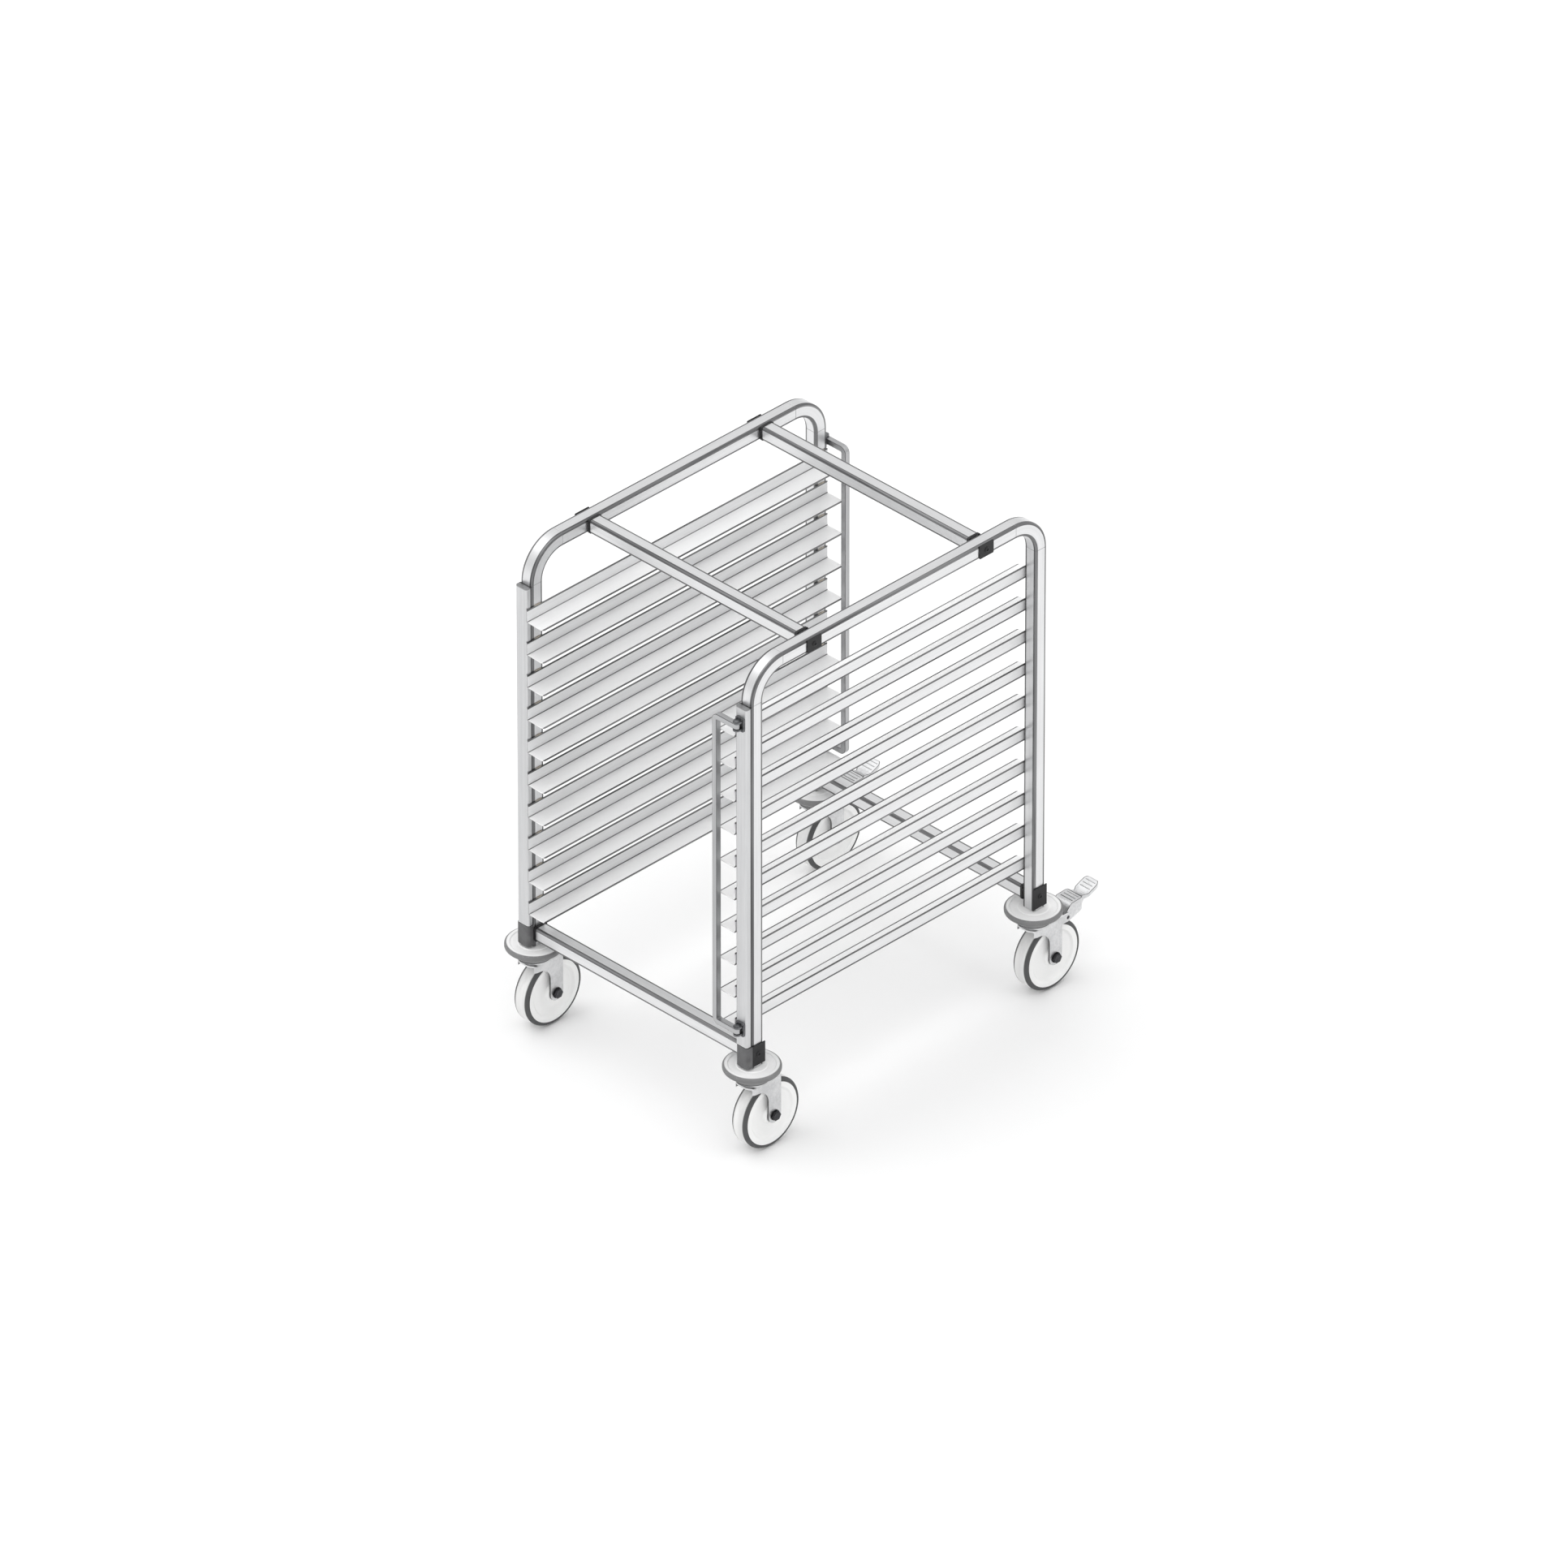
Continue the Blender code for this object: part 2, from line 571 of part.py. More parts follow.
def pedal_mesh():
    """Brake pedal with two treads, joined by a waist; its origin is the pivot and it reaches along +Y."""
    width = FORK_INSIDE - 4 * GAP
    near_half = width / 2
    waist_half = 0.0095
    far_half = 0.0155
    tip_y = PEDAL_REACH - PEDAL_PIVOT_Y
    side_view = arc((0, 0), PEDAL_BARREL, 130, 250, 6)
    side_view += [(0.0095, -0.0095), (0.017, -0.0075), (0.038, -0.001), (0.046, 0.009), (0.054, 0.0125)]
    side_view += arc((tip_y - PEDAL_TIP_RADIUS, PEDAL_TIP_RISE), PEDAL_TIP_RADIUS, -65, 115, 6)
    side_view += [(0.055, 0.0185), (0.046, 0.0165), (0.037, 0.0205), (0.013, 0.0195), (0.004, 0.012)]
    mesh = prism("pedal", side_view, width, along_x)
    right = [(near_half, -WELL_CLEAR), (near_half, 0.030), (0.0155, 0.036), (waist_half, 0.042),
             (waist_half, 0.046), (far_half - 0.0015, 0.051), (far_half, 0.056), (far_half, 0.071),
             (0.0135, 0.0765), (0.0085, tip_y)]
    plan_view = right + [(-x, y) for x, y in reversed(right)]
    mesh = combine(mesh, prism("plan", plan_view, WELL_CLEAR, along_z), "INTERSECT")
    pin_half = FORK_INSIDE / 2 + FORK_PLATE
    pin = cylinder("pedal_pin", PEDAL_PIN_RADIUS, -pin_half, pin_half, PIN_STEPS, axis="X")
    mesh = combine(mesh, pin, "UNION")
    mesh.shade_smooth()
    mesh.set_sharp_from_angle(angle=math.radians(30))
    return mesh


def build_casters(root, zinc, rubber, wheel_plastic):
    """Four casters; the rear two have a brake pedal."""
    forks = {False: fork_mesh(False), True: fork_mesh(True)}
    wheel = wheel_mesh()
    axle = axle_mesh()
    bumper = bumper_mesh()
    stem = stem_mesh()
    pedal = pedal_mesh()
    for corner, (side, end) in CORNERS.items():
        braked = corner in BRAKED_CORNERS
        swivel = make_empty(f"swivel_{corner}", (side * HALF_X, end * HALF_Y, 0), root)
        place(f"caster_bumper_{corner}", bumper, rubber, swivel)
        place(f"caster_stem_{corner}", stem, zinc, swivel)
        place(f"caster_fork_{corner}", forks[braked], zinc, swivel)
        place(f"caster_wheel_{corner}", wheel, wheel_plastic, swivel, (0, TRAIL, AXLE_Z))
        place(f"caster_axle_{corner}", axle, zinc, swivel, (0, TRAIL, AXLE_Z))
        if braked:
            place(f"brake_pedal_{corner}", pedal, zinc, swivel, (0, PEDAL_PIVOT_Y, PEDAL_PIVOT_Z))


def main():
    """Build the whole rack."""
    clear_scene()
    steel = make_material("satin_steel", (0.62, 0.63, 0.64), 0.32, 1.0)
    zinc = make_material("zinc_steel", (0.55, 0.56, 0.58), 0.40, 1.0)
    plastic = make_material("black_plastic", (0.02, 0.02, 0.022), 0.50, 0.0)
    rubber = make_material("grey_rubber", (0.45, 0.46, 0.47), 0.60, 0.0)
    wheel_plastic = make_material("light_grey_plastic", (0.70, 0.71, 0.71), 0.45, 0.0)
    root = make_empty("rack_centre", (0, CENTRE_SHIFT_Y, 0))
    build_frame(root, steel)
    build_runners(root, steel)
    build_joint_covers(root, plastic)
    build_retaining_bars(root, steel, zinc)
    build_casters(root, zinc, rubber, wheel_plastic)


main()
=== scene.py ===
import json
import math
import random

import bmesh
import bpy
from mathutils import Matrix, Vector


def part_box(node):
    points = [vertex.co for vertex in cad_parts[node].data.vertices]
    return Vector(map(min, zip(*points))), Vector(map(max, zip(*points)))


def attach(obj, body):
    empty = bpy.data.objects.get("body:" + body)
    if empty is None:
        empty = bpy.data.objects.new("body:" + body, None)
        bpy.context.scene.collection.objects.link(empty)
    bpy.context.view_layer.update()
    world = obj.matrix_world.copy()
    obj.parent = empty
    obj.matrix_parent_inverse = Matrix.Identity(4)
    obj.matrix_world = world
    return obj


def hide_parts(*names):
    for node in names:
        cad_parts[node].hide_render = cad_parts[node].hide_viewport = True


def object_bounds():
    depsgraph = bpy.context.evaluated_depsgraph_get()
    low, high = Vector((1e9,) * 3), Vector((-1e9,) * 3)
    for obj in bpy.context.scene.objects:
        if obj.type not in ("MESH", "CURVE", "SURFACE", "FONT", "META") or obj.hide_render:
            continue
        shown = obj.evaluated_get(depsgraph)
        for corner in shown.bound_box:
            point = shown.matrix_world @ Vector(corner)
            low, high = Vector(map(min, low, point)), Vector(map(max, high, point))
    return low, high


# Looks of the half-height sheet pan rack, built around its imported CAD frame.
# Metres, +Z up, +X to the rack's right, +Y to its rear.  Places and outer sizes come from the boxes of the
# CAD nodes and from the joints; every piece rides on a CAD body.
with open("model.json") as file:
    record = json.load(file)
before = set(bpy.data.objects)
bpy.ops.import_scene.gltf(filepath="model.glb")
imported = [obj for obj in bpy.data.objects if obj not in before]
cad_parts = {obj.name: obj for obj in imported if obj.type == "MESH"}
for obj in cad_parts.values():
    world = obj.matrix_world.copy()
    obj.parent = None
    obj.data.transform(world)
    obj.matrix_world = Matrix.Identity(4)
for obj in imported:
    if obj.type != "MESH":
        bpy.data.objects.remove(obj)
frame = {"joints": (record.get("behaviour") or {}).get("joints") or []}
CAD_LOW, CAD_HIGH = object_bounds()

SCATTER = random.Random(7)

# Details that the CAD boxes don't hold
TUBE_WALL = 0.0015
TUBE_CORNER = 0.0032           # outside radius of the square tube's corners
BEND_RADIUS = 0.0575           # of the side frames, at the centre line
SEAM_DEPTH = 0.00035           # fine groove where a bend meets a straight length, painted dark as a shade line
SEAM_WIDTH = 0.0011
RUNNER_THICKNESS = 0.0015
RUNNER_BEND = 0.0028           # outside radius of the runner's fold
RUNNER_TIP = 0.006             # radius of the ledge's free corners
RIM = 0.0026                   # strip along a sheet edge, painted dark as shade
RIM_FADE = 0.0002
RUNNER_FOOT = 0.0012           # strip above a runner's fold, painted dark as shade
STRIP = 0.0014                 # strip beside a tube's corner, painted dark as shade
CHANNEL_WALL = 0.0015
CHANNEL_CORNER = 0.007
COVER_THICKNESS = 0.002
COLLAR_LENGTH = 0.0045         # sleeve at each end of a crossbar
COLLAR_PROUD = 0.0011
UPPER_COVER_LENGTH = 0.032
BAR_CORNER = 0.012             # outside radius of the retaining bars' bends
PIN_RADIUS = 0.003
CLEARANCE = 0.0003
FORK_INSIDE = 0.037
FORK_PLATE = 0.003
LEG_RADIUS = 0.014
RACE_RADIUS = 0.022
AXLE_RADIUS = 0.006
EAR_RADIUS = 0.0075
CROWN_REAR_Y = 0.049
HUB_RADIUS = 0.0555
WHEEL_HALF = 0.0155            # half the wheel's width
FORK_SHOULDER = 0.026          # radius between the crown's skirt and a leg
FORK_SKIRT = 0.014
BUMPER_SKIRT_INSIDE = 0.0265
BUMPER_SKIRT_OUTSIDE = 0.0305
BUMPER_SHOULDER = 0.0068       # radius of its upper outside edge
BUMPER_DISH = 0.0015           # depth of the hollow in its top
PEDAL_BARREL = 0.0055
PEDAL_TIP = 0.003
WEB_RECESS = 0.003

# Fineness of round shapes
BEND_STEPS = 20
CORNER_STEPS = 5
TURN_STEPS = 96
PIN_STEPS = 32

CORNERS = ("left_front", "right_front", "left_rear", "right_rear")
BRAKED_CORNERS = ("left_rear", "right_rear")
TIERS = 10

# Camera and light
VIEW_AZIMUTH = 45.0
VIEW_ELEVATION = 33.4
VIEW_DISTANCE = 41.8
VIEW_LENS = 600.0
VIEW_HEIGHT = 0.434


# --- places from the frame -------------------------------------------------------------------------

def middle(node):
    """Middle of a CAD node's box."""
    low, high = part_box(node)
    return (low + high) / 2


def anchor(joint):
    """Where a joint's axis is."""
    found = next(item for item in frame["joints"] if item["name"] == joint)
    return Vector(found["pos_m"])


HOOP_LOW, HOOP_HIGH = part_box("right_side_frame")
TUBE = HOOP_HIGH.x - HOOP_LOW.x
HALF_X = (HOOP_HIGH.x + HOOP_LOW.x) / 2
RAIL_Z = HOOP_HIGH.z - TUBE / 2
FOOT_Z = HOOP_LOW.z
UPRIGHT_Y = {"front": HOOP_LOW.y + TUBE / 2, "rear": HOOP_HIGH.y - TUBE / 2}


# --- outlines --------------------------------------------------------------------------------------

def arc(centre, radius, start, end, steps):
    """Points on an arc, in degrees, counting both ends."""
    points = []
    for step in range(steps + 1):
        angle = math.radians(start + (end - start) * step / steps)
        points.append((centre[0] + radius * math.cos(angle), centre[1] + radius * math.sin(angle)))
    return points


def filleted(points, radius, steps=4):
    """Closed outline with its corners rounded; a point may carry a radius of its own."""
    rounded = []
    count = len(points)
    for index, point in enumerate(points):
        own = point[2] if len(point) > 2 else radius
        here = Vector(point[:2])
        back = Vector(points[index - 1][:2]) - here
        ahead = Vector(points[(index + 1) % count][:2]) - here
        turn = back.angle(ahead)
        if own == 0 or turn > math.radians(178):
            rounded.append(tuple(here))
            continue
        reach = min(own / math.tan(turn / 2), back.length * 0.48, ahead.length * 0.48)
        centre = here + (back.normalized() + ahead.normalized()).normalized() * (reach / math.cos(turn / 2))
        first = here + back.normalized() * reach - centre
        last = here + ahead.normalized() * reach - centre
        sweep = first.angle(last) * (1 if first.x * last.y > first.y * last.x else -1)
        for step in range(steps + 1):
            spoke = Matrix.Rotation(sweep * step / steps, 2) @ first
            rounded.append(tuple(centre + spoke))
    return rounded


def square_ring(side, radius, steps=CORNER_STEPS):
    """Rounded square as (u, v, edge); edge is 1 on the corner arcs and on the strips beside them, which the
    steel finishes paint dark as shade.
    """
    half = side / 2 - radius
    points = []
    for quarter, (x, y) in enumerate(((half, half), (-half, half), (-half, -half), (half, -half))):
        turn = math.radians(90 * quarter)
        start = Vector((x + radius * math.cos(turn), y + radius * math.sin(turn)))
        finish = Vector((x - radius * math.sin(turn), y + radius * math.cos(turn)))
        before = Vector((math.sin(turn), -math.cos(turn)))
        after = Vector((-math.cos(turn), -math.sin(turn)))
        points.append((*(start + before * (STRIP + RIM_FADE)), 0.0))
        points.append((*(start + before * STRIP), 1.0))
        for step in range(steps + 1):
            angle = turn + math.radians(90 * step / steps)
            points.append((x + radius * math.cos(angle), y + radius * math.sin(angle), 1.0))
        points.append((*(finish + after * STRIP), 1.0))
        points.append((*(finish + after * (STRIP + RIM_FADE)), 0.0))
    return points


def rectangle(half_u, half_v):
    """Outline of a rectangle about its middle."""
    return [(-half_u, -half_v), (half_u, -half_v), (half_u, half_v), (-half_u, half_v)]


def mirrored(outline, sign_u, sign_v):
    """The other half of an outline that is symmetric about one of its axes."""
    return [(sign_u * u, sign_v * v, radius) for u, v, radius in reversed(outline)]


# --- meshes ----------------------------------------------------------------------------------------

def finish_mesh(bm, name, smooth_angle=38):
    """Turn a bmesh into a mesh with its faces pointing out."""
    bmesh.ops.recalc_face_normals(bm, faces=bm.faces)
    mesh = bpy.data.meshes.new(name)
    bm.to_mesh(mesh)
    bm.free()
    mesh.shade_smooth()
    mesh.set_sharp_from_angle(angle=math.radians(smooth_angle))
    return mesh


def bridge(bm, one, other):
    """Faces between two rings of vertices, either of which may be a single point."""
    count = max(len(one), len(other))
    for step in range(count):
        after = (step + 1) % count
        if len(one) == 1:
            bm.faces.new((one[0], other[step], other[after]))
        elif len(other) == 1:
            bm.faces.new((one[step], other[0], one[after]))
        else:
            bm.faces.new((one[step], one[after], other[after], other[step]))


def square_tube(name, stations, side, radius, wall):
    """Square tube along stations of (centre, u, v, distance, groove depth)."""
    bm = bmesh.new()
    grain = bm.verts.layers.float_vector.new("grain")
    edge = bm.verts.layers.float.new("edge")
    skins = []
    for shrink in (0.0, wall):
        rings = []
        for centre, across_u, across_v, distance, groove in stations:
            inset = shrink + groove * (shrink == 0)
            ring = []
            for u, v, corner in square_ring(side - 2 * inset, max(radius - shrink, 0.0006)):
                vert = bm.verts.new(centre + across_u * u + across_v * v)
                vert[grain] = (u, v, distance)
                # Corners, the strips beside them and the seam grooves get edge = 1, painted dark as shade
                # on steel.
                vert[edge] = max(corner, 1.0 if groove else 0.0)
                ring.append(vert)
            rings.append(ring)
        skins.append(rings)
    for rings in skins:
        for one, other in zip(rings, rings[1:]):
            bridge(bm, one, other)
    for end in (0, -1):
        bridge(bm, skins[0][end], skins[1][end])
    return finish_mesh(bm, name, 30)


def extruded(outline, low, high, axis):
    """Prism along an axis between two heights; for X the outline is (y, z), for Y (x, z), for Z (x, y)."""
    def place(u, v, height):
        return {"X": (height, u, v), "Y": (u, height, v), "Z": (u, v, height)}[axis]

    bm = bmesh.new()
    face = bm.faces.new([bm.verts.new(place(u, v, low)) for u, v in outline])
    lifted = bmesh.ops.extrude_face_region(bm, geom=[face])
    top = [item for item in lifted["geom"] if isinstance(item, bmesh.types.BMVert)]
    bmesh.ops.translate(bm, verts=top, vec=place(0, 0, high - low))
    return finish_mesh(bm, "prism")


def block(low, high):
    """Plain block between two corners, for joining and cutting."""
    return extruded([(low[0], low[1]), (high[0], low[1]), (high[0], high[1]), (low[0], high[1])],
                    low[2], high[2], "Z")


def turned(name, profile, steps=TURN_STEPS, axis="Z", closed=False):
    """Solid of revolution of (radius, height) points, with its grain running round it."""
    bm = bmesh.new()
    grain = bm.verts.layers.float_vector.new("grain")
    rings = []
    for radius, height in profile:
        ring = []
        for step in range(1 if radius == 0 else steps):
            angle = math.tau * step / steps
            vert = bm.verts.new((radius * math.cos(angle), radius * math.sin(angle), height))
            vert[grain] = (radius, height, 0.02 * math.sin(angle))
            ring.append(vert)
        rings.append(ring)
    pairs = list(zip(rings, rings[1:]))
    if closed:
        pairs.append((rings[-1], rings[0]))
    for one, other in pairs:
        bridge(bm, one, other)
    if axis == "X":
        bmesh.ops.rotate(bm, verts=bm.verts, cent=(0, 0, 0), matrix=Matrix.Rotation(math.pi / 2, 3, "Y"))
    return finish_mesh(bm, name, 40)


def rod(radius, low, high, axis="Z", centre=(0, 0), steps=PIN_STEPS):
    """Closed cylinder, for joining and cutting; centre is its place across the axis."""
    mesh = turned("rod", [(0, low), (radius, low), (radius, high), (0, high)], steps, axis)
    across = (centre[0], centre[1], 0) if axis == "Z" else (0, centre[0], centre[1])
    mesh.transform(Matrix.Translation(across))
    return mesh


def moved(mesh, offset):
    """The mesh, shifted."""
    mesh.transform(Matrix.Translation(Vector(offset)))
    return mesh


def combine(mesh, other, operation):
    """Exact boolean of two meshes, which are both used up."""
    scene = bpy.context.scene
    target = bpy.data.objects.new("boolean_target", mesh)
    tool = bpy.data.objects.new("boolean_tool", other)
    scene.collection.objects.link(target)
    scene.collection.objects.link(tool)
    modifier = target.modifiers.new("boolean", "BOOLEAN")
    modifier.operation = operation
    modifier.solver = "EXACT"
    modifier.object = tool
    graph = bpy.context.evaluated_depsgraph_get()
    result = bpy.data.meshes.new_from_object(target.evaluated_get(graph))
    bpy.data.objects.remove(target)
    bpy.data.objects.remove(tool)
    return result


def axis_grain(axis):
    """Grain coordinates of a straight piece whose grain runs along an axis."""
    order = {"X": (1, 2, 0), "Y": (0, 2, 1), "Z": (0, 1, 2)}[axis]
    return lambda point: (point[order[0]], point[order[1]], point[order[2]])


def softened(mesh, width, grain_at, segments=2, limit=28, hem=0.0, hem_faces=None):
    """Round the sharp edges of a mesh, mark them as edges, and give it grain coordinates.

    With a hem, a border of that width round the faces that hem_faces picks is marked as an edge too.
    """
    bm = bmesh.new()
    bm.from_mesh(mesh)
    for layer in list(bm.verts.layers.float_vector.values()):
        bm.verts.layers.float_vector.remove(layer)
    bmesh.ops.remove_doubles(bm, verts=bm.verts, dist=1e-6)
    bmesh.ops.dissolve_limit(bm, angle_limit=math.radians(0.5), verts=bm.verts, edges=bm.edges)
    edge = bm.faces.layers.float.new("edge")
    sharp = [item for item in bm.edges
             if len(item.link_faces) == 2 and item.calc_face_angle(0) > math.radians(limit)]
    made = bmesh.ops.bevel(bm, geom=sharp, offset=width, offset_type="OFFSET", segments=segments,
                           profile=0.5, affect="EDGES", clamp_overlap=True)
    for face in made["faces"]:
        face[edge] = 1.0
    if hem:
        plain = [face for face in bm.faces if not face[edge] and hem_faces(face)]
        border = bmesh.ops.inset_region(bm, faces=plain, thickness=hem, use_even_offset=True,
                                        use_boundary=True)
        for face in border["faces"]:
            face[edge] = 1.0
    grain = bm.verts.layers.float_vector.new("grain")
    for vert in bm.verts:
        vert[grain] = grain_at(vert.co)
    return finish_mesh(bm, mesh.name, 42)


def joined(name, meshes):
    """Several meshes as one, as they are."""
    bm = bmesh.new()
    for mesh in meshes:
        bm.from_mesh(mesh)
        bpy.data.meshes.remove(mesh)
    merged = bpy.data.meshes.new(name)
    bm.to_mesh(merged)
    bm.free()
    return merged


def hexagon(across_flats):
    """Outline of a nut."""
    radius = across_flats / math.sqrt(3)
    return [(radius * math.cos(math.radians(60 * step)), radius * math.sin(math.radians(60 * step)))
            for step in range(6)]


def button_screw(radius, height):
    """Button-head screw with a hex socket, its seat at z = 0."""
    profile = [(0, 0), (radius, 0), (radius, height * 0.3), (radius * 0.88, height * 0.75),
               (radius * 0.62, height), (0, height)]
    head = turned("screw", profile, PIN_STEPS)
    socket = extruded(hexagon(radius * 0.95), height * 0.35, height * 2, "Z")
    return softened(combine(head, socket, "DIFFERENCE"), 0.00012, axis_grain("Z"), segments=1)


# --- materials -------------------------------------------------------------------------------------

class Finish:
    """A Principled material and the few nodes that its pattern needs."""

    def __init__(self, name, metallic, specular=0.5):
        self.material = bpy.data.materials.new(name)
        self.material.use_nodes = True
        self.tree = self.material.node_tree
        self.shader = self.tree.nodes["Principled BSDF"]
        self.shader.inputs["Metallic"].default_value = metallic
        self.shader.inputs["Specular IOR Level"].default_value = specular
        self.coords = self.grain_coords()

    def feed(self, socket, value):
        """Link a socket, or set its own value."""
        if isinstance(value, bpy.types.NodeSocket):
            self.tree.links.new(value, socket)
        else:
            socket.default_value = value

    def attribute(self, name, kind="GEOMETRY"):
        """Reader of a mesh attribute or of a piece's own property."""
        node = self.tree.nodes.new("ShaderNodeAttribute")
        node.attribute_name = name
        node.attribute_type = kind
        return node

    def vector(self, operation, first, second):
        """Vector maths."""
        node = self.tree.nodes.new("ShaderNodeVectorMath")
        node.operation = operation
        self.feed(node.inputs[0], first)
        self.feed(node.inputs[1], second)
        return node.outputs["Vector"]

    def maths(self, operation, first, second=0.0, clamp=False):
        """Number maths."""
        node = self.tree.nodes.new("ShaderNodeMath")
        node.operation = operation
        node.use_clamp = clamp
        self.feed(node.inputs[0], first)
        self.feed(node.inputs[1], second)
        return node.outputs[0]

    def add(self, first, second, clamp=False):
        """Sum."""
        return self.maths("ADD", first, second, clamp)

    def times(self, first, second):
        """Product."""
        return self.maths("MULTIPLY", first, second)

    def grain_axis(self, axis):
        """One coordinate of the mesh's grain."""
        split = self.tree.nodes.new("ShaderNodeSeparateXYZ")
        self.feed(split.inputs[0], self.attribute("grain").outputs["Vector"])
        return split.outputs[axis]

    def grain_coords(self):
        """Grain coordinates of the mesh, shifted by the piece's seed so that copies differ."""
        seed = self.attribute("seed", "OBJECT").outputs["Fac"]
        shift = self.vector("MULTIPLY", (0.37, 0.53, 0.71), (1, 1, 1))
        scaled = self.tree.nodes.new("ShaderNodeVectorMath")
        scaled.operation = "SCALE"
        self.feed(scaled.inputs[0], shift)
        self.feed(scaled.inputs["Scale"], seed)
        return self.vector("ADD", self.attribute("grain").outputs["Vector"], scaled.outputs["Vector"])

    def noise(self, stretch, detail=3.0, roughness=0.55, coords=None):
        """Noise whose features are 1/stretch metres across on each axis."""
        node = self.tree.nodes.new("ShaderNodeTexNoise")
        self.feed(node.inputs["Vector"], self.vector("MULTIPLY", coords or self.coords, stretch))
        node.inputs["Scale"].default_value = 1.0
        node.inputs["Detail"].default_value = detail
        node.inputs["Roughness"].default_value = roughness
        return node.outputs["Fac"]

    def remap(self, value, low, high, to_low, to_high):
        """Linear change of range, clamped."""
        node = self.tree.nodes.new("ShaderNodeMapRange")
        for socket, number in zip(node.inputs[:5], (value, low, high, to_low, to_high)):
            self.feed(socket, number)
        return node.outputs["Result"]

    def mix(self, factor, first, second):
        """Colour mix."""
        node = self.tree.nodes.new("ShaderNodeMix")
        node.data_type = "RGBA"
        self.feed(node.inputs["Factor"], factor)
        for socket, colour in ((node.inputs[6], first), (node.inputs[7], second)):
            self.feed(socket, (*colour, 1.0) if isinstance(colour, tuple) else colour)
        return node.outputs[2]

    def bump(self, height, distance, strength=1.0, under=None):
        """Bump of a height field, on top of another bump."""
        node = self.tree.nodes.new("ShaderNodeBump")
        node.inputs["Distance"].default_value = distance
        node.inputs["Strength"].default_value = strength
        self.feed(node.inputs["Height"], height)
        if under is not None:
            self.feed(node.inputs["Normal"], under)
        return node.outputs["Normal"]

    def done(self, colour, roughness, normal):
        """Connect the shader."""
        self.feed(self.shader.inputs["Base Color"], colour)
        self.feed(self.shader.inputs["Roughness"], roughness)
        self.feed(self.shader.inputs["Normal"], normal)
        return self.material


def brushed_steel(name, light, dark, edge_shade_colour, roughness, ledge_wear_and_light=False, metallic=1.0):
    """Satin stainless steel with streaks along the grain, smudges, and painted dark shade on its rounded
    corners and edges.
    """
    finish = Finish(name, metallic)
    streaks = finish.noise((2600, 2600, 14), 4.0, 0.65)
    bands = finish.noise((260, 260, 4), 2.0)
    smudges = finish.noise((14, 14, 9), 3.0)
    tone = finish.add(finish.times(streaks, 0.45), finish.times(bands, 0.30))
    tone = finish.add(tone, finish.times(smudges, 0.25))
    colour = finish.mix(finish.remap(tone, 0.36, 0.64, 0, 1), dark, light)
    rough = finish.remap(tone, 0.36, 0.64, roughness + 0.07, roughness - 0.06)
    rough = finish.add(rough, finish.remap(smudges, 0.45, 0.7, 0, 0.06))
    height = streaks
    if ledge_wear_and_light:
        ledge = finish.remap(finish.grain_axis("Y"), 0.0012, 0.0032, 1, 0)
        off_middle = finish.maths("ABSOLUTE", finish.add(finish.grain_axis("X"), 0.019))
        middle_of_ledge = finish.remap(off_middle, 0.010, 0.017, 1, 0)
        scratches = finish.remap(finish.noise((1400, 1400, 3), 5.0, 0.7), 0.50, 0.66, 0, 1)
        worn = finish.times(finish.times(ledge, middle_of_ledge), scratches)
        # Painted light: the ledge is painted near-white, as if lit from above.
        colour = finish.mix(finish.times(ledge, 0.85), colour, (1.0, 1.0, 1.0))
        # The scratched middle of the ledge is wear from sliding pans.
        colour = finish.mix(finish.times(worn, 0.5), colour, (0.90, 0.90, 0.89))
        rough = finish.maths("SUBTRACT", rough, finish.times(worn, 0.10), clamp=True)
        height = finish.maths("SUBTRACT", streaks, finish.times(worn, 0.6))
    # Painted shade: corners, folds and sheet edges are painted dark, a little unevenly.
    edge = finish.attribute("edge").outputs["Fac"]
    painted_corner_shade = finish.times(edge, finish.remap(bands, 0.3, 0.7, 0.72, 1.0))
    colour = finish.mix(painted_corner_shade, colour, edge_shade_colour)
    return finish.done(colour, rough, finish.bump(height, 0.00006, 0.55))


def plated_steel(name, light, dark, roughness):
    """Zinc-plated pressed steel: faint crystalline mottling, dulled and slightly pitted, with its edges
    painted near-black as shade.
    """
    finish = Finish(name, 1.0)
    mottle = finish.noise((230, 230, 230), 4.0, 0.6)
    clouds = finish.noise((35, 35, 35), 2.0)
    pits = finish.noise((1900, 1900, 1900), 2.0)
    tone = finish.remap(finish.add(mottle, clouds), 0.8, 1.2, 0, 1)
    edge = finish.attribute("edge").outputs["Fac"]
    colour = finish.mix(tone, dark, light)
    # Painted shade: edges are painted near-black.
    edge_shade_colour = tuple(part * 0.14 for part in dark)
    colour = finish.mix(finish.times(edge, 0.92), colour, edge_shade_colour)
    rough = finish.remap(finish.add(mottle, pits), 0.75, 1.25, roughness - 0.08, roughness + 0.10)
    return finish.done(colour, rough, finish.bump(pits, 0.00005, 0.5))


